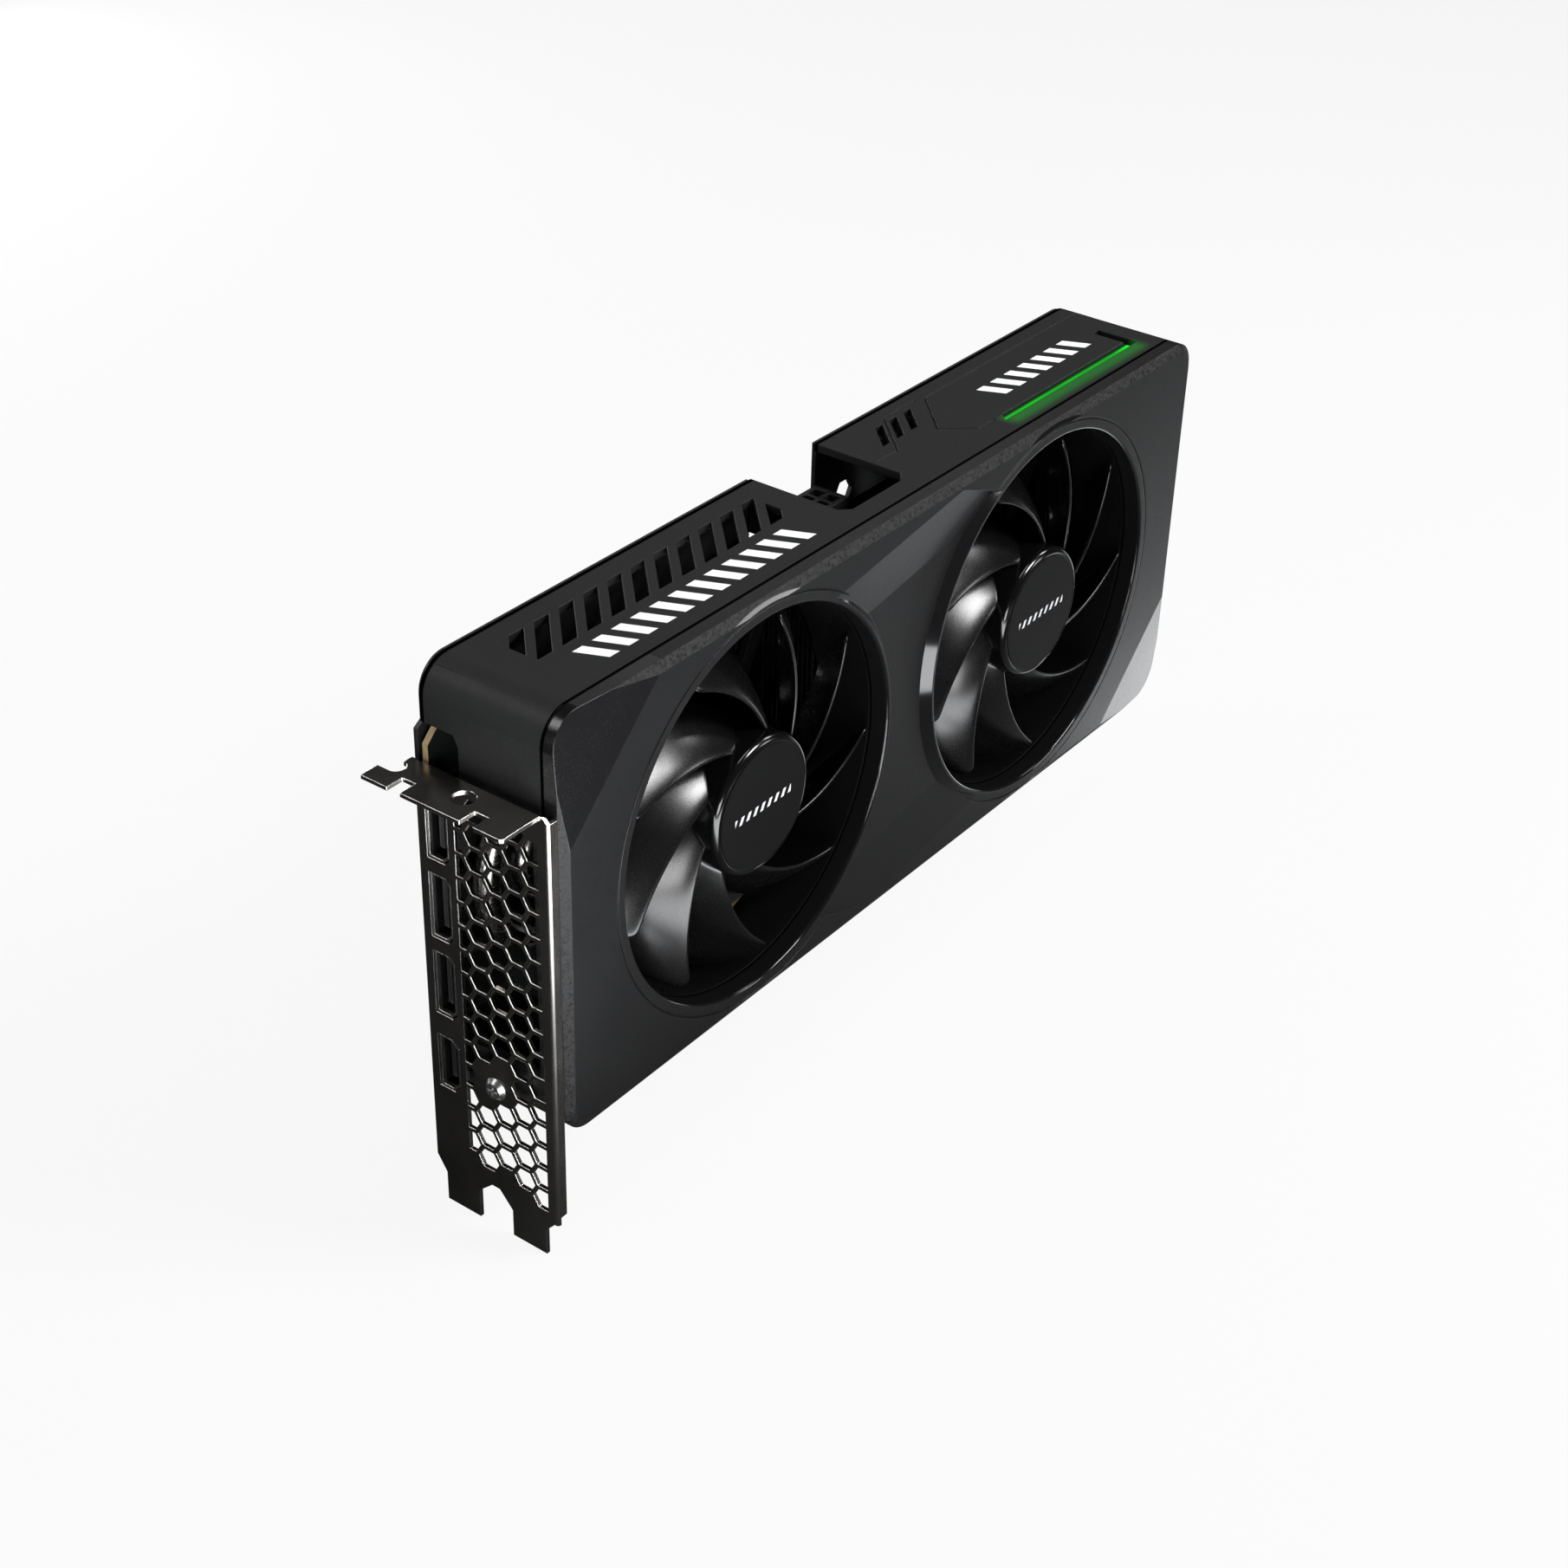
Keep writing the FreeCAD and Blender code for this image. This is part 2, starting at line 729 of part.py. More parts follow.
def make_heatpipe(label, spread):
    """U-shaped heat pipe: two straight legs and a round bend at the bracket end."""
    body = new_body(label)
    spine = sketch_on(body, "XZ", "pipe_depth")
    bend_x = number("fin_start - 1")
    end_x = number("pipe_end")
    middle = -number("fan_down")
    reach = number(spread)
    spine.addGeometry(Part.LineSegment(V(end_x, middle + reach, 0), V(bend_x, middle + reach, 0)))
    spine.addGeometry(Part.ArcOfCircle(Part.Circle(V(bend_x, middle, 0), V(0, 0, 1), reach),
                                       math.pi / 2, 3 * math.pi / 2))
    spine.addGeometry(Part.LineSegment(V(bend_x, middle - reach, 0), V(end_x, middle - reach, 0)))
    section = sketch_on(body, "YZ", "pipe_end")
    circle(section, "-pipe_depth", f"-fan_down + {spread}", "pipe_radius")
    pipe = body.newObject("PartDesign::AdditivePipe", body.Name + "_pipe")
    pipe.Profile = section
    pipe.Spine = spine
    doc.recompute()
    return place(body, label)


def make_fins(label, start, end, back, clear=None):
    """Stack of thin upright plates joined by their folded edges at the back; clear is how
    far it is cut away over the supply socket."""
    body = new_body(label)
    stack = sketch_on(body, "XZ", back)
    outline(stack, box_corners(start, end, "-fin_bottom", "fin_top"))
    pad(body, stack, f"fin_front - ({back})")
    gap = sketch_on(body, "XZ", "fin_front")
    outline(gap, box_corners(f"{start} + fin_sheet", f"{start} + fin_pitch",
                             "-fin_bottom - 1", "fin_top + 1"))
    slot = cut(body, gap, f"fin_front - ({back}) - fin_sheet")
    gaps = int((number(end) - number(start)) / number("fin_pitch"))
    repeat(body, [slot], "X_Axis", "fin_pitch", gaps)
    if clear:
        socket = sketch_on(body, "XZ", back)
        outline(socket, box_corners("128.5 - 11", "128.5 + 11", -7.5, "fin_top + 1"))
        cut(body, socket, clear, outward=True)
    pipes = sketch_on(body, "YZ", f"{end} + 1")
    for height in PIPE_HEIGHTS:
        circle(pipes, "-pipe_depth", f"-fan_down + {height}", "pipe_radius + pipe_clear")
    cut(body, pipes)
    return place(body, label)


# ---------------------------------------------------------------- back of the card
def make_retention():
    """Sprung cross plate behind the processor and the four screws that pull it down."""
    body = new_body("retention_plate")
    cross = sketch_on(body, "XZ", 0.3)
    arm = 5
    outline(cross, [
        (f"gpu_x + {u}", f"-gpu_down + {v}") for u, v in
        [(-30 - arm, -30), (-30, -30 - arm), (0, -8), (30, -30 - arm), (30 + arm, -30), (8, 0),
         (30 + arm, 30), (30, 30 + arm), (0, 8), (-30, 30 + arm), (-30 - arm, 30), (-8, 0)]])
    pad(body, cross, 0.8)
    holes = sketch_on(body, "XZ", 1.1)
    for u, v in GPU_STUDS:
        circle(holes, f"gpu_x + {u}", f"-gpu_down + {v}", 1.6)
    circle(holes, "gpu_x", "-gpu_down", 4)
    cut(body, holes)
    place(body, "retention_plate")

    screws = []
    for u, v in GPU_STUDS:
        x = f"gpu_x + {u}"
        z = f"-gpu_down + {v}"
        screws.append(screw(x, z, 0.3, -1, 2.6, 1.1, 1.2, 6.4))
    group("retention_screws", screws)


def screw(x, z, seat, way, head, head_high, shank, length):
    """Screw along the depth: its head rises from the seat, its shank goes the other way."""
    head_start = seat if way > 0 else seat - head_high
    shank_start = seat - length if way > 0 else seat
    solid = join([rod(x, head_start, z, head, head_high), rod(x, shank_start, z, shank, length)])
    slot_start = head_start + head_high - 0.6 if way > 0 else head_start - 0.4
    return minus(solid, join([block(x, slot_start, z, head * 1.2, 1, 0.5),
                              block(x, slot_start, z, 0.5, 1, head * 1.2)]))


def make_backplate():
    body = new_body("backplate")
    plate = sketch_on(body, "XZ", "-plate_inner - plate_sheet")
    outline(plate, [
        ("card_left - 1", "-floor + 0.5"),
        ("card_right - 0.4", "-floor + 0.5"),
        ("card_right - 0.4", "roof - 0.4"),
        (142, "roof - 0.4"),
        (142, 8),
        (139, 3.5),
        (118, 3.5),
        (115.8, 6),
        (115.8, "roof - 0.4"),
        ("card_left + 1.1", "roof - 0.4"),
        ("card_left + 1.1", 7.4),
        ("card_left - 1", 6),
    ])
    flat = pad(body, plate, "plate_sheet")
    upright = edges_where(flat, lambda e, m: runs_along(e, V(0, 1, 0)) and (
        abs(m.z) > 15 and (m.x < 10 or m.x > 250)))
    flat = soften(body, flat, upright, "corner - 0.4")

    window = sketch_on(body, "XZ", 5)
    outline(window, box_corners("gpu_x - 38", "gpu_x + 38", "-gpu_down - 38", "-gpu_down + 38"))
    cut(body, window)

    vent = sketch_on(body, "XZ", 5)
    lean = 14
    outline(vent, [(166, -70), (171.5, -70), (f"171.5 + {lean}", -34), (f"166 + {lean}", -34)])
    outline(vent, [(166, -28), (171.5, -28), (f"171.5 + {lean}", 10), (f"166 + {lean}", 10)])
    bar = cut(body, vent)
    repeat(body, [bar], "X_Axis", 8, 9)
    peep = sketch_on(body, "XZ", 5)
    outline(peep, hexagon(154.5, 3.4, 6.2))
    cut(body, peep)

    screw_seats = sketch_on(body, "XZ", "-plate_inner")
    for x, z in BACK_SCREWS:
        circle(screw_seats, x, z, 1.4)
    cut(body, screw_seats)
    heads = sketch_on(body, "XZ", "-plate_inner - plate_sheet")
    for x, z in BACK_SCREWS:
        circle(heads, x, z, 2.6)
    cut(body, heads, 0.8, outward=True)
    place(body, "backplate")

    screws = [screw(x, z, -number("plate_inner + 0.4"), -1, 2.5, 0.7, 1.25, 6.9) for x, z in BACK_SCREWS]
    group("backplate_screws", screws)


# ---------------------------------------------------------------- top frame
VENT_BACK = -6.2
VENT_FRONT = -17.8


def slanted_slot(x, width, back, front, lean):
    """Leaning roof slot: x is its left corner at the back, lean its shift to the front."""
    return [(x, back), (x + width, back), (x + width - lean, front), (x - lean, front)]


def make_top_frame():
    body = new_body("top_frame")
    tube = sketch_on(body, "XZ", "-plate_inner")
    outline(tube, box_corners("card_left", "card_right", "-floor", "roof"))
    walls = pad(body, tube, "seam_depth + plate_inner")
    upright = edges_where(walls, lambda e, m: runs_along(e, V(0, 1, 0)))
    walls = soften(body, walls, upright, "corner")
    hollow = sketch_on(body, "XZ", "seam_depth")
    outline(hollow, rounded_box("card_left + wall", "card_right - wall", "-floor + wall", "roof - wall", 6))
    cut(body, hollow)

    add_posts(body)

    corner = sketch_on(body, "XY", "-floor - 5")
    outline(corner, box_corners(2, 20, -9.2, 5))
    cut(body, corner, 18, outward=True)
    under = sketch_on(body, "XY", "-floor - 5")
    outline(under, box_corners(20, 151.5, -3.2, 5))
    outline(under, box_corners(31, 103, -29, -6))
    outline(under, box_corners(113, 165, -29, -6))
    cut(body, under, "5 + wall + 0.2", outward=True)

    side = sketch_on(body, "YZ", "-5")
    outline(side, [(5, -100), (5, 7.7), (-8.9, 7.7), (-10.2, 5), (-10.2, -4), (-30.5, -4),
                   (-30.5, -72), (-10.2, -72), (-10.2, -100)])
    cut(body, side, 12, outward=True)

    cheek = sketch_on(body, "XY", "fin_top + 0.3")
    outline(cheek, box_corners("notch_left - 1.6", "notch_left", -27, -0.2))
    pad(body, cheek, "roof - fin_top - 1")

    roof_cuts(body)
    return place(body, "top_frame")


def rounded_box(u0, u1, v0, v1, corner):
    """Box outline with its corners cut back twice, close to a round corner."""
    near = round(corner * 0.29, 3)
    loop = []
    for u, v, du, dv in ((u0, v0, 1, 1), (u1, v0, -1, 1), (u1, v1, -1, -1), (u0, v1, 1, -1)):
        side = [(u, f"{v} + {dv * corner}"), (f"{u} + {du * near}", f"{v} + {dv * near}"),
                (f"{u} + {du * corner}", v)]
        loop += side if du * dv > 0 else side[::-1]
    return loop


def add_posts(body):
    """Screw posts that carry the backplate and the front shroud."""
    for screws, start in ((BOARD_SCREWS, "board_back + board_thickness + 0.1"), (BACK_SCREWS[2:], "0")):
        posts = sketch_on(body, "XZ", start)
        for x, z in screws:
            low, high = (z - 3, "roof - 1") if z > 0 else ("-floor + 1", z + 3)
            outline(posts, box_corners(x - 3, x + 3, low, high))
        pad(body, posts, f"9 - ({start})")
    drill = sketch_on(body, "XZ", "-plate_inner - 1")
    for x, z in BACK_SCREWS:
        circle(drill, x, z, 1.3)
    cut(body, drill, 8, outward=True)

    ears = sketch_on(body, "XZ", "seam_depth - 2.5")
    for (x, z), (u, v) in zip(FRONT_SCREWS, ((4, 8), (24, -85.5), (258, -60), (238, 20.5))):
        outline(ears, box_corners(min(x - 3, u), max(x + 3, u), min(z - 3, v), max(z + 3, v)))
    pad(body, ears, 2.5)
    ear_holes = sketch_on(body, "XZ", "seam_depth - 3")
    for x, z in FRONT_SCREWS:
        circle(ear_holes, x, z, 1.5)
    cut(body, ear_holes, 4, outward=True)
    side_hole = sketch_on(body, "YZ", 0)
    circle(side_hole, "-boss_depth", "-boss_down", 1.3)
    cut(body, side_hole, 8, outward=True)


def roof_cuts(body):
    """Air slots, supply notch, light slot and fine grooves in the roof."""
    roof = sketch_on(body, "XY", "roof")
    for k in range(9):
        outline(roof, slanted_slot(32 + 8 * k, 4.7, VENT_BACK, VENT_FRONT, 12))
    lean = 12 / (VENT_BACK - VENT_FRONT)
    outline(roof, [(24, VENT_BACK), (28.7, VENT_BACK), (20, VENT_BACK - 8.7 / lean),
                   (20, VENT_BACK - 4 / lean)])
    outline(roof, [(20, VENT_BACK), (20.7, VENT_BACK), (20, VENT_BACK - 0.7 / lean)])
    outline(roof, [(108, VENT_BACK - 4 / lean), (108, VENT_BACK - 8.7 / lean), (104.7, VENT_FRONT),
                   (100, VENT_FRONT)])
    outline(roof, [(104, VENT_BACK), (108, VENT_BACK), (108, VENT_BACK - 0.7 / lean),
                   (96.7, VENT_FRONT), (92, VENT_FRONT)])
    for k in range(3):
        outline(roof, slanted_slot(158 + 6 * k, 3, -5.9, -13.5, 7.4))
    cut(body, roof, "wall + 1")

    notch = sketch_on(body, "XY", "roof")
    outline(notch, [("notch_left", 5), ("notch_left", -25), ("notch_left + 2.5", -27.5), (138.8, -27.5),
                    (141.3, -25), (141.3, 5)])
    cut(body, notch, 16)

    light = sketch_on(body, "XY", "roof")
    outline(light, [(182.5, -28), (246.5, -28), (246.5, -16), (243.6, -16), (243.6, -25.5), (185, -25.5)])
    cut(body, light, "wall + 1")

    grooves = sketch_on(body, "XY", "roof")
    panel = [(256, -5.2), (180.5, -5.2), (167.5, -17.8), (174.7, -25.6), (181.5, -25.6)]
    outline(grooves, strip_corners(panel, 0.6))
    hatch = [(142.5, -17.5), (151, -17.5), (164, -4.2), (178, -4.2)]
    outline(grooves, strip_corners(hatch, 0.5))
    cut(body, grooves, 0.35)


def make_frame_screws():
    """Screws from the frame's ears into the shroud, and the bracket's face screw."""
    seat = number("seam_depth - 2.5")
    group("shroud_screws", [screw(x, z, seat, -1, 2.3, 1.5, 1.25, 4.4) for x, z in FRONT_SCREWS])
    head = doc.addObject("Part::Cone", "head")
    head.Radius1 = 2.9
    head.Radius2 = 2.0
    head.Height = 1.1
    shank = doc.addObject("Part::Cylinder", "shank")
    shank.Radius = 1.25
    shank.Height = 5.0
    solid = join([head, shank])
    for item, x, way in ((head, 0, -90), (shank, 0, 90)):
        item.Placement.Rotation = FreeCAD.Rotation(V(0, 1, 0), way)
        tie(item, "Placement.Base.x", x)
        tie(item, "Placement.Base.y", "-boss_depth")
        tie(item, "Placement.Base.z", "-boss_down")
    cross = []
    for wide, high in ((3.0, 0.7), (0.7, 3.0)):
        bar = doc.addObject("Part::Box", "cross")
        bar.Length = 1.0
        bar.Width = wide
        bar.Height = high
        bar.Placement.Base.x = -1.5
        tie(bar, "Placement.Base.y", f"-boss_depth - {wide} / 2")
        tie(bar, "Placement.Base.z", f"-boss_down - {high} / 2")
        cross.append(bar)
    place(minus(solid, join(cross)), "bracket_screw")


def make_light():
    """Light guide in the roof slot and the small lamp board below it."""
    body = new_body("led_light_guide")
    bar = sketch_on(body, "XY", "roof - wall - 1.5")
    outline(bar, [(182.6, -27.9), (243.5, -27.9), (243.5, -25.6), (185.0, -25.6)])
    pad(body, bar, "wall + 1.1")
    foot = sketch_on(body, "XY", "roof - wall - 1.5")
    outline(foot, box_corners(182, 246, -29.5, -24))
    pad(body, foot, 1.4)
    place(body, "led_light_guide")
    lamp = block(230, 24.4, "roof - wall - 2.3", 30, 4.8, 1.5)
    group("led_board", [lamp])


# ---------------------------------------------------------------- front shroud
def make_shroud():
    body = new_body("front_shroud")
    plan = sketch_on(body, "XZ", "seam_depth")
    outline(plan, box_corners("card_left", "card_right", "-floor", "roof"))
    slab = pad(body, plan, "front_depth - seam_depth")
    slab = soften(body, slab, edges_where(slab, lambda e, m: runs_along(e, V(0, 1, 0))), "corner")
    face = number("front_depth")
    rim = edges_where(slab, lambda e, m: all(abs(v.Y + face) < 0.01 for v in e.Vertexes))
    bevel = soften(body, slab, rim, "bevel_deep", "Chamfer")
    bevel.ChamferType = "Two distances"
    tie(bevel, "Size2", "bevel_down")
    doc.recompute()

    centre = "(fan_x + fan_pitch / 2 + fan_down) / sqrt(2)"
    for near, side in (("facet_crease", 1), (f"2 * {centre} - facet_crease", -1)):
        facet = crossing_band(body, near, side)
        wedge = body.newObject("PartDesign::Pocket", "facet")
        wedge.Profile = facet
        wedge.SideType = "Symmetric"
        wedge.Length = 900
        doc.recompute()

    openings = sketch_on(body, "XZ", "front_depth")
    grooves = sketch_on(body, "XZ", "front_depth")
    for x in ("fan_x", "fan_x + fan_pitch"):
        circle(openings, x, "-fan_down", "opening_radius")
        circle(grooves, x, "-fan_down", "groove_radius")
        circle(grooves, x, "-fan_down", "groove_radius + 0.5")
    opened = cut(body, openings)
    rims = edges_where(opened, lambda e, m: e.Curve.TypeId == "Part::GeomCircle" and abs(
        e.Curve.Radius - number("opening_radius")) < 0.01 and abs(m.y + number("front_depth")) < 0.01)
    soften(body, opened, rims, "rim_round")
    cut(body, grooves, 0.4)
    hollow_back(body)
    return place(minus(body, panel_tool()), "front_shroud")


def crossing_band(body, near, side):
    """Sketch square to the diagonal crease of a corner facet."""
    drawing = sketch_on(body, "XY")
    drawing.AttachmentOffset = FreeCAD.Placement(V(0, 0, 0), FreeCAD.Rotation(V(0, 1, 0), 45))
    reach = f"{side} * facet_reach"
    outline(drawing, [
        (near, "-front_depth"),
        (f"{near} - {reach}", "-front_depth + facet_drop"),
        (f"{near} - {reach}", "-front_depth - 3"),
        (near, "-front_depth - 3"),
    ])
    return drawing


def hollow_back(body):
    """Weight-saving pockets behind the flat corners, and the four blind screw holes."""
    centre_x = number("fan_x + fan_pitch / 2")
    centre_z = -number("fan_down")
    corner = [(6, -83), (45, -83), (6, -38)]
    pockets = sketch_on(body, "XZ", "seam_depth")
    outline(pockets, corner)
    outline(pockets, [(2 * centre_x - u, 2 * centre_z - v) for u, v in corner])
    cut(body, pockets, 0.8, outward=True)
    drill = sketch_on(body, "XZ", "seam_depth")
    for x, z in FRONT_SCREWS:
        circle(drill, x, z, 1.3)
    cut(body, drill, 2.2, outward=True)


def panel_tool():
    """Shape of the sunk panel between the fans: two gentle ramps, a flat floor and a
    sloping wall around each fan ring."""
    centre_x = number("fan_x + fan_pitch / 2")
    centre_z = -number("fan_down")
    half_plan = [(90, 9.4), (148.4, 18.4), (175, 8.1)]
    plan = half_plan + [(2 * centre_x - u, 2 * centre_z - v) for u, v in half_plan]
    area = doc.addObject("Part::Feature", "panel_area")
    face = number("front_depth")
    floor = number("panel_depth")
    loop = Part.makePolygon([V(u, -face - 2, v) for u, v in plan + plan[:1]])
    area.Shape = Part.Face(loop).extrude(V(0, 4 + floor, 0))

    slope = math.atan2(18.4 - 9.4, 148.4 - 90)
    along = V(math.cos(slope), 0, math.sin(slope))
    across = V(math.sin(slope), 0, -math.cos(slope))
    start = V(90, 0, 9.4)
    width = 2 * (V(centre_x, 0, centre_z) - start).dot(across)
    ramp = number("panel_ramp")
    profile = [(0, 0), (ramp, floor), (width - ramp, floor), (width, 0), (width, -1), (0, -1)]
    corners = [start + across * w + V(0, d - face, 0) - along * 60 for w, d in profile]
    band = doc.addObject("Part::Feature", "panel_band")
    band.Shape = Part.Face(Part.makePolygon(corners + corners[:1])).extrude(along * 240)

    rings = []
    for x in ("fan_x", "fan_x + fan_pitch"):
        ring = doc.addObject("Part::Cone", "ring_wall")
        tie(ring, "Radius1", "ring_radius + panel_depth * wall_slope")
        tie(ring, "Radius2", "ring_radius - 1 * wall_slope")
        tie(ring, "Height", "panel_depth + 1")
        ring.Placement.Rotation = FreeCAD.Rotation(V(1, 0, 0), 90)
        tie(ring, "Placement.Base.x", x)
        tie(ring, "Placement.Base.y", "-front_depth + panel_depth")
        tie(ring, "Placement.Base.z", "-fan_down")
        rings.append(ring)
    common = doc.addObject("Part::MultiCommon", "panel_common")
    common.Shapes = [area, band]
    return minus(common, join(rings))


# ---------------------------------------------------------------- fans
def make_fan(index, centre):
    """Fan unit about its own axis: mount, stator, bearing, rotor, magnet, shaft and label."""
    name = f"fan_{index}_"
    spot = {"x": centre, "z": "-fan_down"}
    make_fan_mount(name + "mount", spot)
    make_rotor(name + "rotor", spot)

    coils = []
    for k in range(6):
        angle = k * 60
        arm = doc.addObject("Part::Box", "pole")
        arm.Length = 6.5
        arm.Width = 5.0
        arm.Height = 3.6
        turn = math.radians(angle)
        arm.Placement = FreeCAD.Placement(V(5.2 * math.cos(turn) + 1.8 * math.sin(turn),
                                            -30.0, 5.2 * math.sin(turn) - 1.8 * math.cos(turn)),
                                          FreeCAD.Rotation(V(0, 1, 0), -angle))
        coils.append(arm)
    core = minus(rod(0, 25.0, 0, 6.2, 5.0), rod(0, 24.0, 0, 4.05, 8.0))
    stator = place(join([core] + coils), name + "stator", **spot)

    bearing = minus(rod(0, "bearing_back", 0, 4.0, "bearing_front - bearing_back"),
                    rod(0, "bearing_back - 1", 0, "shaft_radius + bearing_gap", 20))
    place(bearing, name + "bearing", **spot)
    shaft = rod(0, "shaft_back", 0, "shaft_radius", "hub_front - cup_face - shaft_back")
    group(name + "shaft", [shaft], **spot)
    ring = minus(rod(0, 22.6, 0, 15.9, 10.0), rod(0, 21.6, 0, 14.4, 12.0))
    place(ring, name + "magnet", **spot)
    group(name + "label", [rod(0, "hub_front - label_sheet", 0, "label_radius", "label_sheet")], **spot)
    return stator


def make_fan_mount(label, spot):
    """Fixed duct ring with four arms that hold the motor base behind the blades."""
    body = new_body(label)
    profile = sketch_on(body, "XY")
    outline(profile, [
        ("duct_radius", "-seam_depth"), ("duct_radius + 1.6", "-seam_depth"), ("duct_radius + 1.6", -18.1),
        ("duct_radius", -18.1)])
    revolve(body, profile)
    base = sketch_on(body, "XZ", 18.0)
    circle(base, 0, 0, 16.5)
    pad(body, base, 2.0)
    arms = sketch_on(body, "XZ", 18.2)
    for angle in FAN_ARMS:
        turn = math.radians(angle)
        end = math.radians(angle + 12)
        start = (14 * math.cos(turn), 14 * math.sin(turn))
        stop = (49 * math.cos(end), 49 * math.sin(end))
        outline(arms, strip_corners([start, stop], 4.0))
    pad(body, arms, 1.8)
    seat = sketch_on(body, "XZ", 17)
    circle(seat, 0, 0, "4.0")
    cut(body, seat, outward=True)
    return place(body, label, **spot)


# share of the blade's height against share of its twist: the blade dips more steeply to the rear
BLADE_CAMBER = [(0, 0), (0.12, 0.3), (0.35, 0.6), (0.65, 0.84), (1, 1)]


def blade_section(body, depth, share):
    """Thin sickle profile of a blade at one depth, turned by its share of the twist."""
    drawing = sketch_on(body, "XZ", depth)
    tie(drawing, "AttachmentOffset.Rotation.Angle", f"-blade_twist * {share}")
    tip = number("blade_radius")
    root = V(11.4, -12.4, 0)
    belly = V(29.5, -9.6, 0)
    point = V(tip * math.cos(0.036), tip * math.sin(0.036), 0)
    half = number("blade_sheet") / 2
    spine = Part.Arc(root, belly, point).toShape().Curve
    centre = spine.Center
    radius = spine.Radius
    angle_root = math.atan2(root.y - centre.y, root.x - centre.x)
    angle_tip = math.atan2(point.y - centre.y, point.x - centre.x)
    low, high = sorted((angle_root, angle_tip))
    for k, grow in enumerate((-half, half)):
        drawing.addGeometry(Part.ArcOfCircle(Part.Circle(centre, V(0, 0, 1), radius + grow), low, high))
    for angle in (low, high):
        way = V(math.cos(angle), math.sin(angle), 0)
        near = centre + way * (radius - half)
        far = centre + way * (radius + half)
        drawing.addGeometry(Part.LineSegment(near, far))
    drawing.addConstraint(Sketcher.Constraint("Coincident", 0, 1, 2, 1))
    drawing.addConstraint(Sketcher.Constraint("Coincident", 1, 1, 2, 2))
    drawing.addConstraint(Sketcher.Constraint("Coincident", 0, 2, 3, 1))
    drawing.addConstraint(Sketcher.Constraint("Coincident", 1, 2, 3, 2))
    return drawing


def make_rotor(label, spot):
    """Rotor cup with nine swept blades."""
    body = new_body(label)
    cup = sketch_on(body, "XY")
    outline(cup, [
        (0, "-hub_front + label_sheet"), ("label_radius + 0.3", "-hub_front + label_sheet"),
        ("label_radius + 0.5", "-hub_front"), ("hub_radius - 1.2", "-hub_front + 0.1"),
        ("hub_radius - 0.3", "-hub_front + 0.6"), ("hub_radius", "-hub_front + 1.6"),
        ("hub_radius", "-hub_back - 0.6"), ("hub_radius - 1.7", "-hub_back - 0.6"),
        ("hub_radius - 1.7", "-hub_front + cup_face"), (0, "-hub_front + cup_face")])
    revolve(body, cup)
    loft = body.newObject("PartDesign::AdditiveLoft", body.Name + "_blade")
    sections = [blade_section(body, f"blade_front - (blade_front - blade_back) * {sunk}", turned)
                for sunk, turned in BLADE_CAMBER]
    loft.Profile = sections[0]
    loft.Sections = sections[1:]
    doc.recompute()
    ring = body.newObject("PartDesign::PolarPattern", body.Name + "_blades")
    ring.Originals = [loft]
    ring.Axis = (origin_feature(body, "Y_Axis"), [""])
    ring.Angle = 360
    tie(ring, "Occurrences", "blade_count")
    body.Tip = ring
    doc.recompute()
    return place(body, label, **spot)


# ---------------------------------------------------------------- build and write
def build():
    make_bracket()
    for k in range(3):
        make_port(f"displayport_{k + 1}", f"(dp_down + {k} * dp_pitch)", "dp_height", 1.4)
    make_port("hdmi_port", "hdmi_down", "hdmi_height", 1.8)
    make_inserts("displayport_tongues", [f"(dp_down + {k} * dp_pitch)" for k in range(3)], "dp_height")
    make_inserts("hdmi_tongue", ["hdmi_down"], "hdmi_height")
    make_board()
    make_contacts()
    make_chips()
    make_power_stage()
    make_power_socket()
    make_headers()
    make_cold_plate()
    make_heatpipe("heatpipe_outer", "pipe_spread")
    make_heatpipe("heatpipe_inner", "pipe_inner_spread")
    make_fins("fin_stack_main", "fin_start", "fin_end", "plate_front", clear=6.2)
    make_fins("fin_stack_tail", "tail_start", "tail_end", "tail_back")
    make_retention()
    make_backplate()
    make_top_frame()
    make_frame_screws()
    make_light()
    make_shroud()
    make_fan(1, "fan_x")
    make_fan(2, "fan_x + fan_pitch")


def write():
    doc.recompute()
    for item in doc.Objects:
        if "Invalid" in item.State or "Error" in item.State:
            raise RuntimeError(f"{item.Label} did not compute")
    os.makedirs("parts", exist_ok=True)
    for piece in PIECES:
        shape = piece.Shape
        if shape.isNull() or not shape.isValid():
            raise RuntimeError(f"{piece.Label} is not a valid solid")
        shape.exportStep(f"parts/{piece.Label}.step")
        box = shape.BoundBox
        print(f"{piece.Label:22s} solids {len(shape.Solids):3d}  x {box.XMin:7.2f} {box.XMax:7.2f}"
              f"  y {box.YMin:7.2f} {box.YMax:7.2f}  z {box.ZMin:8.2f} {box.ZMax:7.2f}")


build()
write()
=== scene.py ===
"""Looks for the two-fan graphics card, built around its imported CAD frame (metres, row frame)."""
import json
import math

import bpy
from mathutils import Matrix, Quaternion, Vector


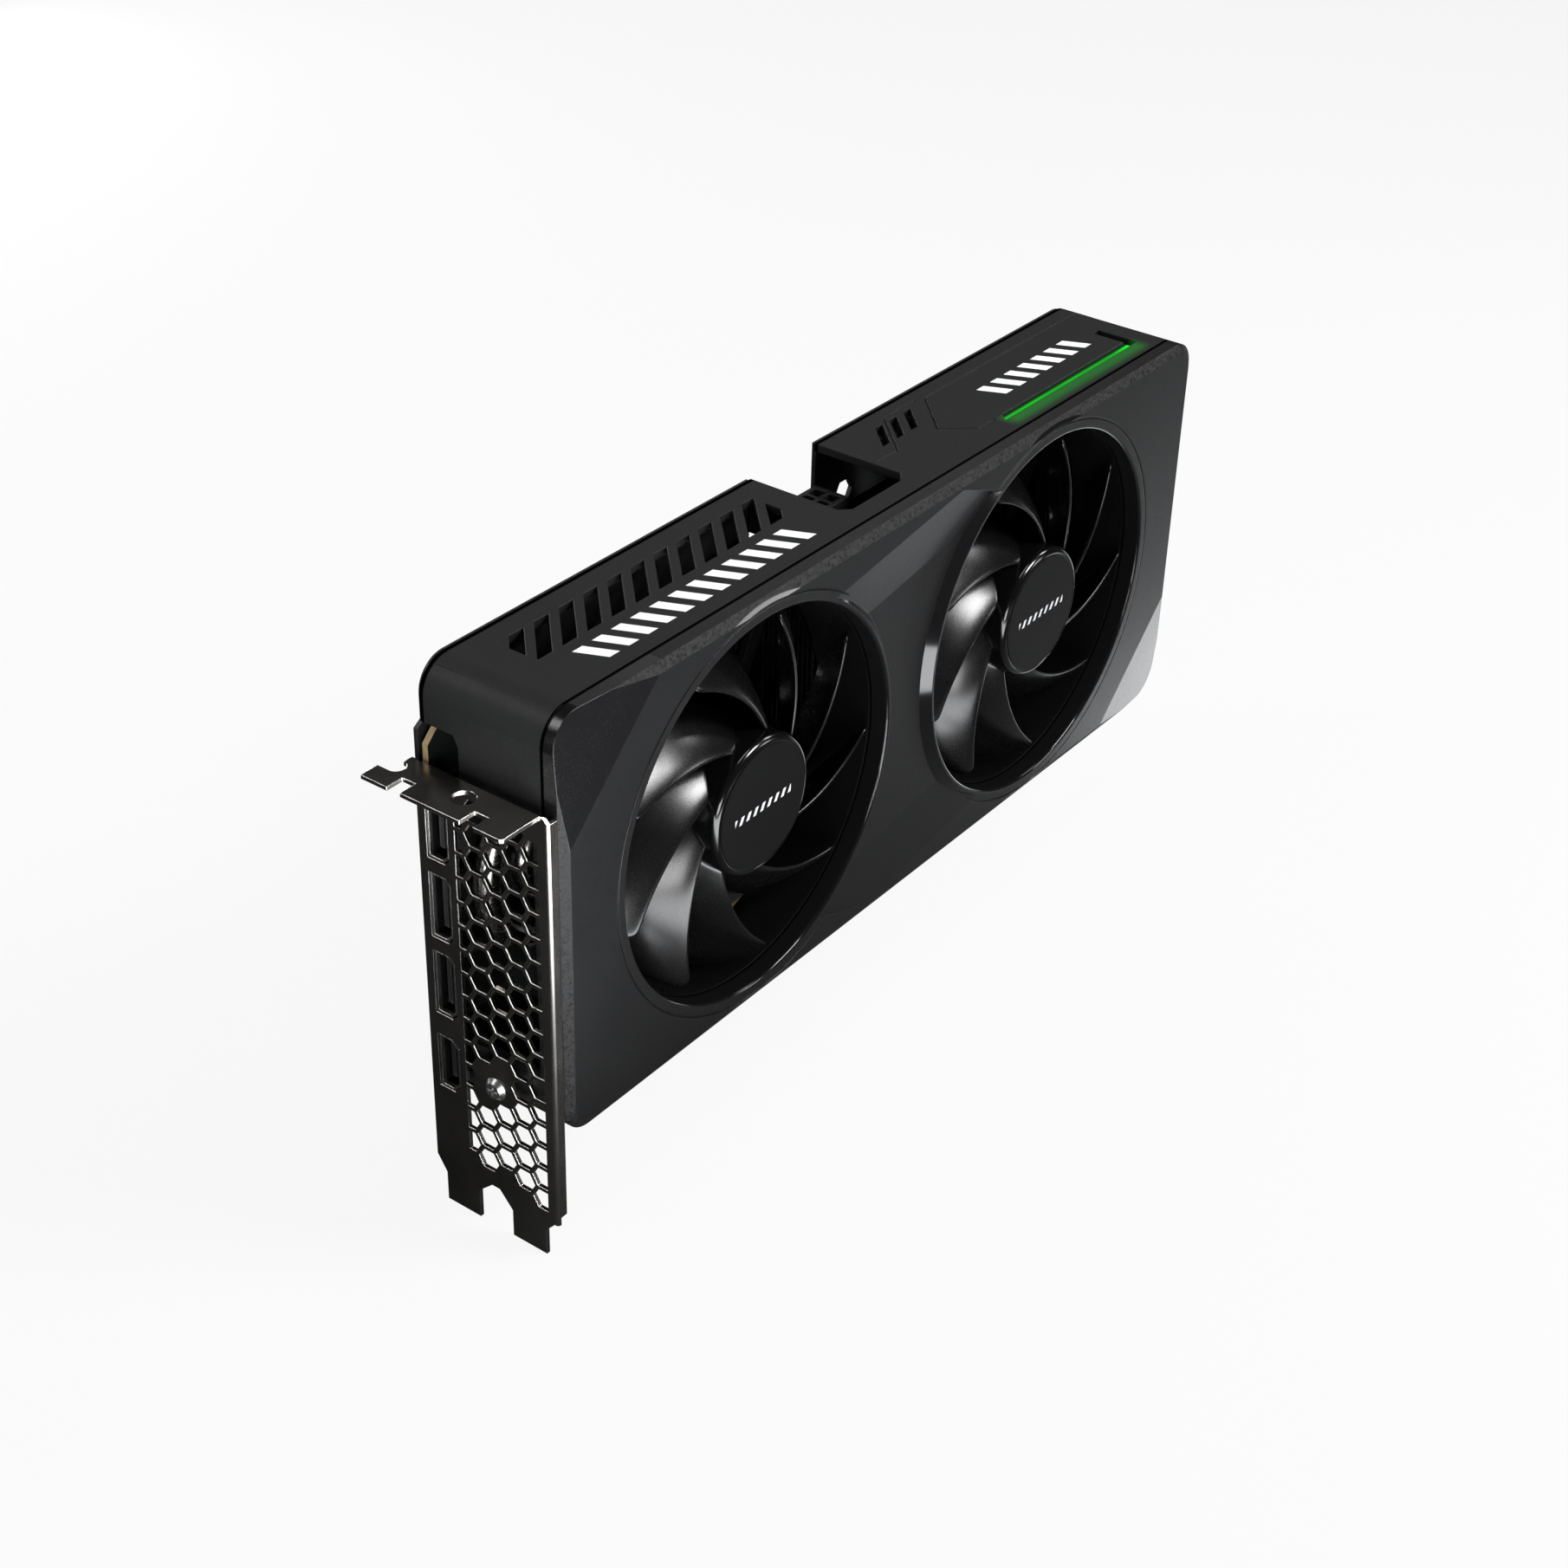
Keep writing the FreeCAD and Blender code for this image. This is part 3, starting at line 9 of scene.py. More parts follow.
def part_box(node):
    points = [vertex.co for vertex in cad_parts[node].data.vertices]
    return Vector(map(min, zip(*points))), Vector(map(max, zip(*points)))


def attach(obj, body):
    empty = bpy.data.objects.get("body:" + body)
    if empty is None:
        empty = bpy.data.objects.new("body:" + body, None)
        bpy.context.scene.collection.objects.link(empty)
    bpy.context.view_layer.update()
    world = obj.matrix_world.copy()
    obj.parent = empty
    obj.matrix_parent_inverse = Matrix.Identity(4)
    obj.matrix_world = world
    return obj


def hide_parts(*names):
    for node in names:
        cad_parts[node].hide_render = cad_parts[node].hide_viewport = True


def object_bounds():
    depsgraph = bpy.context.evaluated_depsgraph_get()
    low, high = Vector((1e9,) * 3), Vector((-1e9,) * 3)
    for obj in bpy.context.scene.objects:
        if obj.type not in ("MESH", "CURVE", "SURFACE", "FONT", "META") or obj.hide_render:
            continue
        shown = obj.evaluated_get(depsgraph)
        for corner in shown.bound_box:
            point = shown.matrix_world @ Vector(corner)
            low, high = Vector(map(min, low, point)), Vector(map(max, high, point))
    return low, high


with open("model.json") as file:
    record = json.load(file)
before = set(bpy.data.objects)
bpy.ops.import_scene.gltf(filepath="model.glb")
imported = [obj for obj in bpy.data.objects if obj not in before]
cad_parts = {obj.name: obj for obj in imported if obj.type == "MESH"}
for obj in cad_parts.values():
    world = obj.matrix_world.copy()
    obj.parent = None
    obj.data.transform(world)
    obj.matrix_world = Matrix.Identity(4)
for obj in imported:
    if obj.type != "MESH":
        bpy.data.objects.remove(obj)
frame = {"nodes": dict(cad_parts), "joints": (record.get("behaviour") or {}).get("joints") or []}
cad_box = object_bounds()
nodes = frame["nodes"]
MM = 0.001

# ---------------------------------------------------------------- places taken from the frame
FAN_AXES = {j["child"]: Vector(j["pos_m"]) for j in frame["joints"]}
FAN_SPAN = abs(FAN_AXES["fan_2"].x - FAN_AXES["fan_1"].x)
MIDDLE = (FAN_AXES["fan_1"] + FAN_AXES["fan_2"]) / 2
SHROUD_LOW, SHROUD_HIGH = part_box("front_shroud")
FRAME_LOW, FRAME_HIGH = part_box("top_frame")
LABEL_LOW, LABEL_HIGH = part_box("fan_1_label")
MAGNET_LOW, MAGNET_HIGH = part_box("fan_1_magnet")
LIGHT_LOW, LIGHT_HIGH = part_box("led_light_guide")
ROOF = FRAME_HIGH.z
FRONT = SHROUD_LOW.y
BACK = FRAME_HIGH.y
SOCKET_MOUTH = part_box("displayport_1")[0].x
MAGNET_RADIUS = (MAGNET_HIGH.x - MAGNET_LOW.x) / 2
LABEL_RADIUS = (LABEL_HIGH.x - LABEL_LOW.x) / 2

# ---------------------------------------------------------------- sizes of surface detail
HUB_RADIUS = MAGNET_RADIUS + 1.7 * MM
OPENING_RADIUS = 48.8 * MM
RING_RADIUS = 53.0 * MM
FACET_LINE = 104.9 * MM * math.sqrt(2)  # 104.9 mm from the middle, square to the edge
JOINT_HALF = 0.45 * MM
BAR_SLANT = 0.45
BAR_PITCH = 6.3 * MM
BAR_SHARE = (0.16, 0.68)  # the printed part of each pitch
LONG_BARS = (FRAME_LOW.x + 26.5 * MM, FRAME_LOW.x + 102 * MM,
             FRAME_LOW.y + 5 * MM, FRAME_LOW.y + 12.5 * MM)
SHORT_BARS = (FRAME_LOW.x + 192 * MM, FRAME_LOW.x + 237 * MM,
              FRAME_LOW.y + 14 * MM, FRAME_LOW.y + 21 * MM)
HATCH = (FRAME_LOW.x + 140 * MM, FRAME_LOW.x + 163 * MM, FRAME_LOW.y + 19 * MM, BACK - 6.5 * MM)
HATCH_PITCH = 0.9 * MM
LABEL_BAR_SLANT = 0.5
LABEL_BAR_PITCH = 2.6 * MM
LABEL_BAR_SHARE = (0.2, 0.6)
LABEL_BAR_HALF_ROW = 10.4 * MM
LABEL_BAR_HALF_HEIGHT = 1.0 * MM
LIT_DEPTH = 2.4 * MM  # the lit long leg of the light guide

# ---------------------------------------------------------------- colours used more than once
JOINT_BLACK = (0.0005, 0.0005, 0.0005)
SHROUD_BLACK = (0.005, 0.005, 0.0054)
FRAME_BLACK = (0.008, 0.0082, 0.0088)
LABEL_BLACK = (0.004, 0.004, 0.0042)
MASK_BLACK = (0.01, 0.012, 0.012)
NICKEL = (0.8, 0.79, 0.77)
PAPER_GLOW = 0.96


# ---------------------------------------------------------------- material building
class Shade:
    """A principled material and the few node helpers that every material here uses."""

    def __init__(self, name, color, rough, metal=0.0):
        self.material = bpy.data.materials.new(name)
        self.material.use_nodes = True
        self.tree = self.material.node_tree
        self.tree.nodes.clear()
        self.out = self.tree.nodes.new("ShaderNodeOutputMaterial")
        self.body = self.tree.nodes.new("ShaderNodeBsdfPrincipled")
        self.tree.links.new(self.body.outputs[0], self.out.inputs[0])
        self.set("Base Color", color)
        self.set("Roughness", rough)
        self.set("Metallic", metal)
        place = self.tree.nodes.new("ShaderNodeTexCoord")
        self.place = place.outputs["Object"]

    def set(self, name, value):
        self.plug(self.body.inputs[name], value)

    def plug(self, socket, value):
        if isinstance(value, bpy.types.NodeSocket):
            self.tree.links.new(value, socket)
        elif isinstance(value, tuple) and len(value) == 3 and len(socket.default_value) == 4:
            socket.default_value = (*value, 1.0)
        else:
            socket.default_value = value

    def node(self, kind, settings=None, **inputs):
        made = self.tree.nodes.new("ShaderNode" + kind)
        for key, value in (settings or {}).items():
            setattr(made, key, value)
        for key, value in inputs.items():
            self.plug(made.inputs[key.replace("_", " ").title()], value)
        return made

    def math(self, operation, first, second=0.0):
        made = self.node("Math", {"operation": operation})
        self.plug(made.inputs[0], first)
        self.plug(made.inputs[1], second)
        return made.outputs[0]

    def split(self, vector):
        made = self.node("SeparateXYZ")
        self.plug(made.inputs[0], vector)
        return made.outputs

    def noise(self, size, detail=2.0, rough=0.5, stretch=None):
        """Noise of a given grain size in metres, stretched along an axis when asked."""
        place = self.place
        if stretch:
            move = self.node("Mapping", {"vector_type": "POINT"}, Vector=place)
            move.inputs["Scale"].default_value = stretch
            place = move.outputs[0]
        made = self.node("TexNoise", Vector=place, Scale=1.0 / size, Detail=detail, Roughness=rough)
        return made.outputs["Fac"]

    def span(self, value, low, high, to_low=0.0, to_high=1.0, smooth=False):
        """Value between two limits, carried over to two others and held there beyond them."""
        made = self.node("MapRange", {"interpolation_type": "SMOOTHSTEP" if smooth else "LINEAR"})
        for socket, item in zip(made.inputs, (value, low, high, to_low, to_high)):
            self.plug(socket, item)
        return made.outputs[0]

    def inside(self, value, low, high, soft):
        """1 where a value lies between two limits, with soft edges."""
        up = self.span(value, low - soft, low + soft)
        down = self.span(value, high - soft, high + soft, 1.0, 0.0)
        return self.math("MULTIPLY", up, down)

    def blend(self, share, first, second):
        made = self.node("Mix", {"data_type": "RGBA"})
        self.plug(made.inputs[0], share)
        self.plug(made.inputs[6], first)
        self.plug(made.inputs[7], second)
        return made.outputs[2]

    def lerp(self, share, first, second):
        made = self.node("Mix", {"data_type": "FLOAT"})
        self.plug(made.inputs[0], share)
        self.plug(made.inputs[2], first)
        self.plug(made.inputs[3], second)
        return made.outputs[0]

    def bump(self, height, distance, strength=1.0, under=None):
        made = self.node("Bump")
        self.plug(made.inputs["Height"], height)
        self.plug(made.inputs["Distance"], distance)
        self.plug(made.inputs["Strength"], strength)
        if under is not None:
            self.plug(made.inputs["Normal"], under)
        return made.outputs[0]

    def rounded(self, radius):
        """Normal that rounds sharp edges over a small radius."""
        return self.node("Bevel", {"samples": 4}, Radius=radius).outputs[0]

    def edge_highlight_mask(self, radius):
        """Near 1 along sharp outer edges, 0 on flats; marks where a highlight is painted on edges."""
        soft = self.node("Bevel", {"samples": 4}, Radius=radius).outputs[0]
        sharp = self.node("NewGeometry").outputs["True Normal"]
        made = self.node("VectorMath", {"operation": "DOT_PRODUCT"})
        self.plug(made.inputs[0], soft)
        self.plug(made.inputs[1], sharp)
        return self.span(made.outputs["Value"], 0.999, 0.9, 0.0, 1.0)

    def wave(self, x, y, slope, pitch):
        """Ridges of a given pitch running across a diagonal, 0 to 1."""
        along = self.math("ADD", x, self.math("MULTIPLY", y, slope))
        turn = self.math("MULTIPLY", along, 2 * math.pi / pitch)
        return self.span(self.math("SINE", turn), -1.0, 1.0)

    def flat_normal(self):
        """The face's own direction, without smoothing or bump."""
        return self.split(self.node("NewGeometry").outputs["True Normal"])


def paint(name, *node_names):
    """One look on any number of CAD nodes."""
    for node_name in node_names:
        slots = nodes[node_name].data.materials
        slots.clear()
        slots.append(MATERIALS[name])


# ---------------------------------------------------------------- plastics
def grained_plastic(name, color, rough, grain, depth, sparkle=0.12, shine=0.5):
    """Moulded black plastic with a spark-eroded grain of the given size."""
    mat = Shade(name, color, rough)
    mat.set("Specular IOR Level", shine)
    fine = mat.noise(grain, 3.0, 0.65)
    cloud = mat.noise(0.03, 2.0)
    mat.set("Roughness", mat.math("ADD", mat.span(fine, 0.3, 0.7, rough - sparkle, rough + sparkle),
                                  mat.span(cloud, 0.3, 0.7, -0.03, 0.03)))
    mat.set("Normal", mat.bump(fine, depth, 0.7, mat.rounded(0.35 * MM)))
    return mat.material


def shroud_plastic():
    """Front shroud: grained flats, coarse outer bevel, glossier corner facets, polished ring walls."""
    mat = Shade("shroud_plastic", SHROUD_BLACK, 0.45)
    x, y, z = mat.split(mat.place)
    right = mat.math("SUBTRACT", x, MIDDLE.x)
    up = mat.math("SUBTRACT", z, MIDDLE.z)
    slant = mat.math("ABSOLUTE", mat.math("SUBTRACT", right, up))
    facet = mat.span(slant, FACET_LINE - 0.1 * MM, FACET_LINE + 0.1 * MM)
    from_axis = from_fan_axis(mat, x, z)
    by_ring = mat.span(from_axis, RING_RADIUS, RING_RADIUS + 0.4 * MM, 1.0, 0.0)
    tilt = mat.math("ABSOLUTE", mat.flat_normal()[1])
    sloped = mat.inside(tilt, 0.05, 0.95, 0.02)
    wall = mat.math("MULTIPLY", sloped, by_ring)
    rim = mat.math("MULTIPLY", sloped, mat.span(by_ring, 0.0, 1.0, 1.0, 0.0))

    grain = mat.noise(0.00042, 3.0, 0.65)
    coarse = mat.noise(0.0008, 3.0, 0.65)
    height = mat.lerp(rim, grain, coarse)
    depth = mat.lerp(rim, 0.03 * MM, 0.12 * MM)
    depth = mat.lerp(facet, depth, 0.022 * MM)
    depth = mat.lerp(wall, depth, 0.002 * MM)
    cloud = mat.span(mat.noise(0.03, 2.0), 0.3, 0.7, -0.03, 0.03)
    rough = mat.span(grain, 0.3, 0.7, 0.3, 0.44)
    rough = mat.lerp(facet, rough, mat.span(grain, 0.3, 0.7, 0.16, 0.27))
    rough = mat.lerp(wall, mat.math("ADD", rough, cloud), 0.09)
    rough = mat.lerp(rim, rough, mat.span(coarse, 0.35, 0.65, 0.42, 0.72))
    mat.set("Roughness", rough)
    joint = mat.inside(y, FRAME_LOW.y - JOINT_HALF, FRAME_LOW.y + MM, 0.08 * MM)
    mat.set("Base Color", mat.blend(joint, SHROUD_BLACK, JOINT_BLACK))
    mouth = mat.span(from_axis, OPENING_RADIUS + 0.05 * MM, OPENING_RADIUS + 0.3 * MM, 1.0, 0.0)
    sunk = mat.math("MAXIMUM", joint, mouth)
    mat.set("Specular IOR Level", mat.math("MULTIPLY", mat.span(sunk, 0.0, 1.0, 1.0, 0.03),
                                           mat.lerp(rim, 0.5, mat.span(coarse, 0.35, 0.65, 0.12, 0.55))))
    mat.set("Normal", mat.bump(height, depth, 0.7, mat.rounded(0.3 * MM)))
    return mat.material


def slanted_bars(mat, x, y, start, stop, low, high):
    """Row of plain slanted bars printed between two lengths and two depths of the roof."""
    along = mat.math("ADD", x, mat.math("MULTIPLY", y, BAR_SLANT))
    shifted = mat.math("SUBTRACT", along, start + BAR_SLANT * low)
    cell = mat.math("FRACT", mat.math("DIVIDE", shifted, BAR_PITCH))
    bar = mat.inside(cell, *BAR_SHARE, 0.02)
    row = mat.inside(y, low, high, 0.05 * MM)
    length = mat.inside(shifted, 0.0, stop - start, 0.05 * MM)
    return mat.math("MULTIPLY", mat.math("MULTIPLY", bar, row), length)


def frame_plastic():
    """Top frame: fine satin grain, dark joint lines, printed bars, a small hatched panel, and a painted green
    glow around the light guide.
    """
    mat = Shade("frame_plastic", FRAME_BLACK, 0.55)
    x, y, z = mat.split(mat.place)
    on_roof = mat.inside(z, ROOF - 0.3 * MM, ROOF + MM, 0.05 * MM)
    joint = mat.inside(y, FRAME_LOW.y - MM, FRAME_LOW.y + JOINT_HALF, 0.08 * MM)
    joint = mat.math("MAXIMUM", joint, mat.inside(y, BACK - 1.1 * MM, BACK + MM, 0.15 * MM))
    bars = mat.math("MAXIMUM", slanted_bars(mat, x, y, *LONG_BARS), slanted_bars(mat, x, y, *SHORT_BARS))
    bars = mat.math("MULTIPLY", bars, on_roof)
    hatch = mat.math("MULTIPLY", mat.inside(x, HATCH[0], HATCH[1], 0.1 * MM),
                     mat.inside(y, HATCH[2], HATCH[3], 0.1 * MM))
    hatch = mat.math("MULTIPLY", hatch, on_roof)
    weave = mat.math("MULTIPLY", mat.wave(x, y, 1.0, HATCH_PITCH), mat.wave(x, y, -1.0, HATCH_PITCH))
    fine = mat.noise(0.0003, 3.0, 0.65)
    cloud = mat.noise(0.03, 2.0)
    color = mat.blend(joint, FRAME_BLACK, JOINT_BLACK)
    mat.set("Base Color", mat.blend(bars, color, (0.93, 0.94, 0.96)))
    rough = mat.math("ADD", mat.span(fine, 0.3, 0.7, 0.44, 0.66), mat.span(cloud, 0.3, 0.7, -0.03, 0.03))
    mat.set("Roughness", rough)
    mat.set("Specular IOR Level", mat.span(joint, 0.0, 1.0, 0.4, 0.0))
    # Painted light: the frame plastic next to the light guide glows green as emission, as if lit by the
    # guide.
    glow = mat.math("MULTIPLY", mat.span(y, LIGHT_LOW.y - 3.5 * MM, LIGHT_LOW.y, smooth=True),
                    mat.span(y, LIGHT_LOW.y + 2.5 * MM, LIGHT_LOW.y + 4.5 * MM, 1.0, 0.0, smooth=True))
    glow = mat.math("MULTIPLY", glow, mat.inside(x, LIGHT_LOW.x + MM, LIGHT_HIGH.x, 2 * MM))
    mat.set("Emission Color", (0.0, 0.12, 0.004))
    mat.set("Emission Strength", glow)
    height = mat.lerp(hatch, fine, weave)
    depth = mat.lerp(hatch, 0.02 * MM, 0.08 * MM)
    mat.set("Normal", mat.bump(height, depth, 0.7, mat.rounded(0.35 * MM)))
    return mat.material


def from_fan_axis(mat, x, z):
    """Distance in the fans' plane from the nearer fan axis."""
    right = mat.math("SUBTRACT", x, MIDDLE.x)
    near = mat.math("SUBTRACT", mat.math("ABSOLUTE", right), FAN_SPAN / 2)
    up = mat.math("SUBTRACT", z, MIDDLE.z)
    return mat.math("SQRT", mat.math("ADD", mat.math("MULTIPLY", near, near), mat.math("MULTIPLY", up, up)))


def label_film():
    """Matt hub film with a short row of plain slanted bars across its middle."""
    mat = Shade("label_film", LABEL_BLACK, 0.6)
    x, y, z = mat.split(mat.place)
    right = mat.math("SUBTRACT", mat.math("ABSOLUTE", mat.math("SUBTRACT", x, MIDDLE.x)), FAN_SPAN / 2)
    side = mat.math("SIGN", mat.math("SUBTRACT", x, MIDDLE.x))
    up = mat.math("SUBTRACT", z, MIDDLE.z)
    along = mat.math("SUBTRACT", mat.math("MULTIPLY", right, side), mat.math("MULTIPLY", up, LABEL_BAR_SLANT))
    cell = mat.math("FRACT", mat.math("DIVIDE", mat.math("ADD", along, FAN_SPAN), LABEL_BAR_PITCH))
    row = mat.inside(up, -LABEL_BAR_HALF_HEIGHT, LABEL_BAR_HALF_HEIGHT, 0.08 * MM)
    bars = mat.math("MULTIPLY", mat.inside(cell, *LABEL_BAR_SHARE, 0.04), row)
    length = mat.inside(right, -LABEL_BAR_HALF_ROW, LABEL_BAR_HALF_ROW, 0.1 * MM)
    bars = mat.math("MULTIPLY", bars, length)
    grain = mat.noise(0.0002, 3.0, 0.65)
    mat.set("Base Color", mat.blend(bars, LABEL_BLACK, (0.6, 0.6, 0.62)))
    mat.set("Roughness", mat.span(grain, 0.3, 0.7, 0.5, 0.7))
    mat.set("Specular IOR Level", 0.1)
    mat.set("Normal", mat.bump(grain, 0.008 * MM, 0.6))
    return mat.material


def impeller_plastic():
    """Impeller: satin blades with a very fine sparkle, polished hub."""
    mat = Shade("impeller_plastic", (0.0025, 0.0025, 0.0027), 0.3)
    x, y, z = mat.split(mat.place)
    hub = mat.span(from_fan_axis(mat, x, z), HUB_RADIUS, HUB_RADIUS + 0.6 * MM, 1.0, 0.0)
    grain = mat.noise(0.00024, 2.0, 0.7)
    cloud = mat.span(mat.noise(0.008, 3.0), 0.3, 0.7, -0.02, 0.02)
    satin = mat.math("ADD", mat.span(grain, 0.3, 0.7, 0.19, 0.29), cloud)
    mat.set("Roughness", mat.lerp(hub, satin, mat.math("ADD", 0.14, cloud)))
    mat.set("Normal", mat.bump(grain, mat.lerp(hub, 0.009 * MM, 0.0008 * MM), 0.7))
    return mat.material


def board_laminate():
    """Circuit board: near-black mask on the faces, tan glass fibre on the cut edges."""
    mat = Shade("board_laminate", MASK_BLACK, 0.35)
    cut = mat.span(mat.math("ABSOLUTE", mat.flat_normal()[1]), 0.3, 0.5, 1.0, 0.0)
    threads = mat.noise(0.0005, 3.0, 0.6, (0.2, 1.0, 0.2))
    tan = mat.blend(mat.span(threads, 0.35, 0.65), (0.3, 0.21, 0.1), (0.45, 0.34, 0.19))
    mat.set("Base Color", mat.blend(cut, MASK_BLACK, tan))
    mat.set("Roughness", mat.lerp(cut, mat.span(mat.noise(0.004), 0.3, 0.7, 0.3, 0.4), 0.75))
    mat.set("Normal", mat.bump(threads, 0.01 * MM, 0.5))
    return mat.material


# ---------------------------------------------------------------- metals
def plated_steel(name, color, rough):
    """Satin nickel on rolled steel: faint rolling lines, soft stains, and a painted highlight that makes the
    sharp edges paler.
    """
    mat = Shade(name, color, rough, 1.0)
    lines = mat.noise(0.0006, 2.0, 0.5, (0.1, 0.1, 0.04))
    stain = mat.noise(0.012, 3.0)
    # Painted highlight: sharp edges get a paler, brighter colour.
    edge = mat.edge_highlight_mask(0.25 * MM)
    tint = mat.blend(mat.span(stain, 0.35, 0.7), color, tuple(0.8 * c for c in color))
    mat.set("Base Color", mat.blend(edge, tint, (0.9, 0.88, 0.85)))
    mat.set("Roughness", mat.span(lines, 0.3, 0.7, rough - 0.03, rough + 0.04))
    mat.set("Normal", mat.bump(lines, 0.0008 * MM, 0.3, mat.rounded(0.25 * MM)))
    return mat.material


def port_shell():
    """Socket shell: bright nickel round the mouth, with painted shade that makes it dark and dull further in.
    """
    mat = Shade("port_shell_nickel", NICKEL, 0.24, 1.0)
    x, y, z = mat.split(mat.place)
    # Painted shade: deeper inside the socket the shell's colour turns dark and its surface duller.
    inner = mat.span(x, SOCKET_MOUTH + 0.3 * MM, SOCKET_MOUTH + 1.2 * MM)
    stain = mat.noise(0.004, 3.0)
    worn = mat.blend(mat.span(stain, 0.35, 0.7), NICKEL, (0.62, 0.61, 0.6))
    mat.set("Base Color", mat.blend(inner, worn, (0.04, 0.04, 0.04)))
    mat.set("Roughness", mat.lerp(inner, 0.2, mat.span(stain, 0.3, 0.7, 0.4, 0.5)))
    mat.set("Normal", mat.rounded(0.25 * MM))
    return mat.material


def plain_metal(name, color, rough, grain=0.0004, stretch=None):
    """Bare or plated metal with faint machining lines and a slightly uneven tint."""
    mat = Shade(name, color, rough, 1.0)
    lines = mat.noise(grain, 3.0, 0.6, stretch)
    cloud = mat.noise(0.01, 2.0)
    mat.set("Base Color", mat.blend(mat.span(cloud, 0.35, 0.65), color, tuple(0.82 * c for c in color)))
    mat.set("Roughness", mat.span(lines, 0.3, 0.7, rough - 0.07, rough + 0.07))
    mat.set("Normal", mat.bump(lines, 0.004 * MM, 0.5))
    return mat.material


MATERIALS = {
    "shroud": shroud_plastic(),
    "frame": frame_plastic(),
    "duct": grained_plastic("duct_plastic", (0.002, 0.002, 0.0021), 0.5, 0.0005, 0.02 * MM, shine=0.1),
    "blade": impeller_plastic(),
    "label": label_film(),
    "insert": grained_plastic("insert_plastic", (0.008, 0.008, 0.008), 0.4, 0.0003, 0.01 * MM),
    "chip": grained_plastic("chip_plastic", (0.02, 0.02, 0.021), 0.5, 0.0002, 0.01 * MM),
    "choke": grained_plastic("choke_powder", (0.05, 0.05, 0.055), 0.55, 0.0004, 0.03 * MM),
    "pad": grained_plastic("thermal_pad", (0.25, 0.27, 0.3), 0.7, 0.0006, 0.03 * MM),
    "board": board_laminate(),
    "backplate": grained_plastic("backplate_coat", (0.016, 0.016, 0.017), 0.42, 0.0003, 0.012 * MM),
    "bracket": plated_steel("bracket_nickel", (0.42, 0.405, 0.385), 0.22),
    "shell": port_shell(),
    "screw": plain_metal("screw_zinc", (0.6, 0.6, 0.6), 0.3),
    "black_screw": plain_metal("screw_black_oxide", (0.05, 0.05, 0.05), 0.35),
    "gold": plain_metal("contact_gold", (0.9, 0.66, 0.28), 0.25),
    "copper": plain_metal("cold_plate_copper", (0.75, 0.4, 0.25), 0.3),
    "pipe": plain_metal("heat_pipe_nickel", (0.6, 0.58, 0.55), 0.22, 0.0006, (0.05, 1.0, 1.0)),
    "fin": plain_metal("fin_aluminium", (0.2, 0.203, 0.21), 0.22, 0.0005, (1.0, 1.0, 0.05)),
    "silicon": plain_metal("die_silicon", (0.2, 0.22, 0.26), 0.08),
    "can": plain_metal("can_aluminium", (0.75, 0.75, 0.76), 0.25),
    "bronze": plain_metal("bearing_bronze", (0.6, 0.42, 0.22), 0.4),
    "magnet": grained_plastic("magnet_bonded", (0.03, 0.03, 0.032), 0.5, 0.0004, 0.02 * MM),
}


def light_material():
    """Green light guide, lit along its long leg and brightest at the corner."""
    mat = Shade("light_guide", (0.004, 0.02, 0.006), 0.5)
    mat.set("Specular IOR Level", 0.1)
    x, y, z = mat.split(mat.place)
    lit = mat.span(y, LIGHT_LOW.y + LIT_DEPTH, LIGHT_LOW.y + LIT_DEPTH + 0.8 * MM, 1.0, 0.0)
    glow = mat.span(mat.noise(0.012, 2.0), 0.3, 0.7, 0.85, 1.15)
    corner = mat.span(x, LIGHT_HIGH.x - 12 * MM, LIGHT_HIGH.x, 0.5, 1.1, smooth=True)
    side = mat.span(y, LIGHT_LOW.y, LIGHT_LOW.y + LIT_DEPTH, 0.75, 1.0)
    strength = mat.math("MULTIPLY", mat.math("MULTIPLY", lit, glow), mat.math("MULTIPLY", corner, side))
    mat.set("Emission Color", (0.0, 1.0, 0.01))
    mat.set("Emission Strength", strength)
    return mat.material


MATERIALS["light"] = light_material()

paint("bracket", "io_bracket")
paint("shell", "displayport_1", "displayport_2", "displayport_3", "hdmi_port")
paint("insert", "displayport_tongues", "hdmi_tongue", "power_connector", "fan_headers")
paint("board", "pcb", "led_board")
paint("gold", "edge_contacts", "power_pins")
paint("chip", "gpu_package", "memory_chips", "power_switches")
paint("silicon", "gpu_die")
paint("pad", "thermal_pads")
paint("choke", "power_chokes", "fan_1_stator", "fan_2_stator")
paint("can", "capacitors")
paint("copper", "cold_plate")
paint("pipe", "heatpipe_outer", "heatpipe_inner")
paint("fin", "fin_stack_main", "fin_stack_tail")
paint("screw", "retention_plate", "retention_screws", "bracket_screw", "fan_1_shaft", "fan_2_shaft")
paint("black_screw", "backplate_screws", "shroud_screws")
paint("backplate", "backplate")
paint("frame", "top_frame")
paint("light", "led_light_guide")
paint("shroud", "front_shroud")
paint("duct", "fan_1_mount", "fan_2_mount")
paint("blade", "fan_1_rotor", "fan_2_rotor")
paint("bronze", "fan_1_bearing", "fan_2_bearing")
paint("magnet", "fan_1_magnet", "fan_2_magnet")
paint("label", "fan_1_label", "fan_2_label")


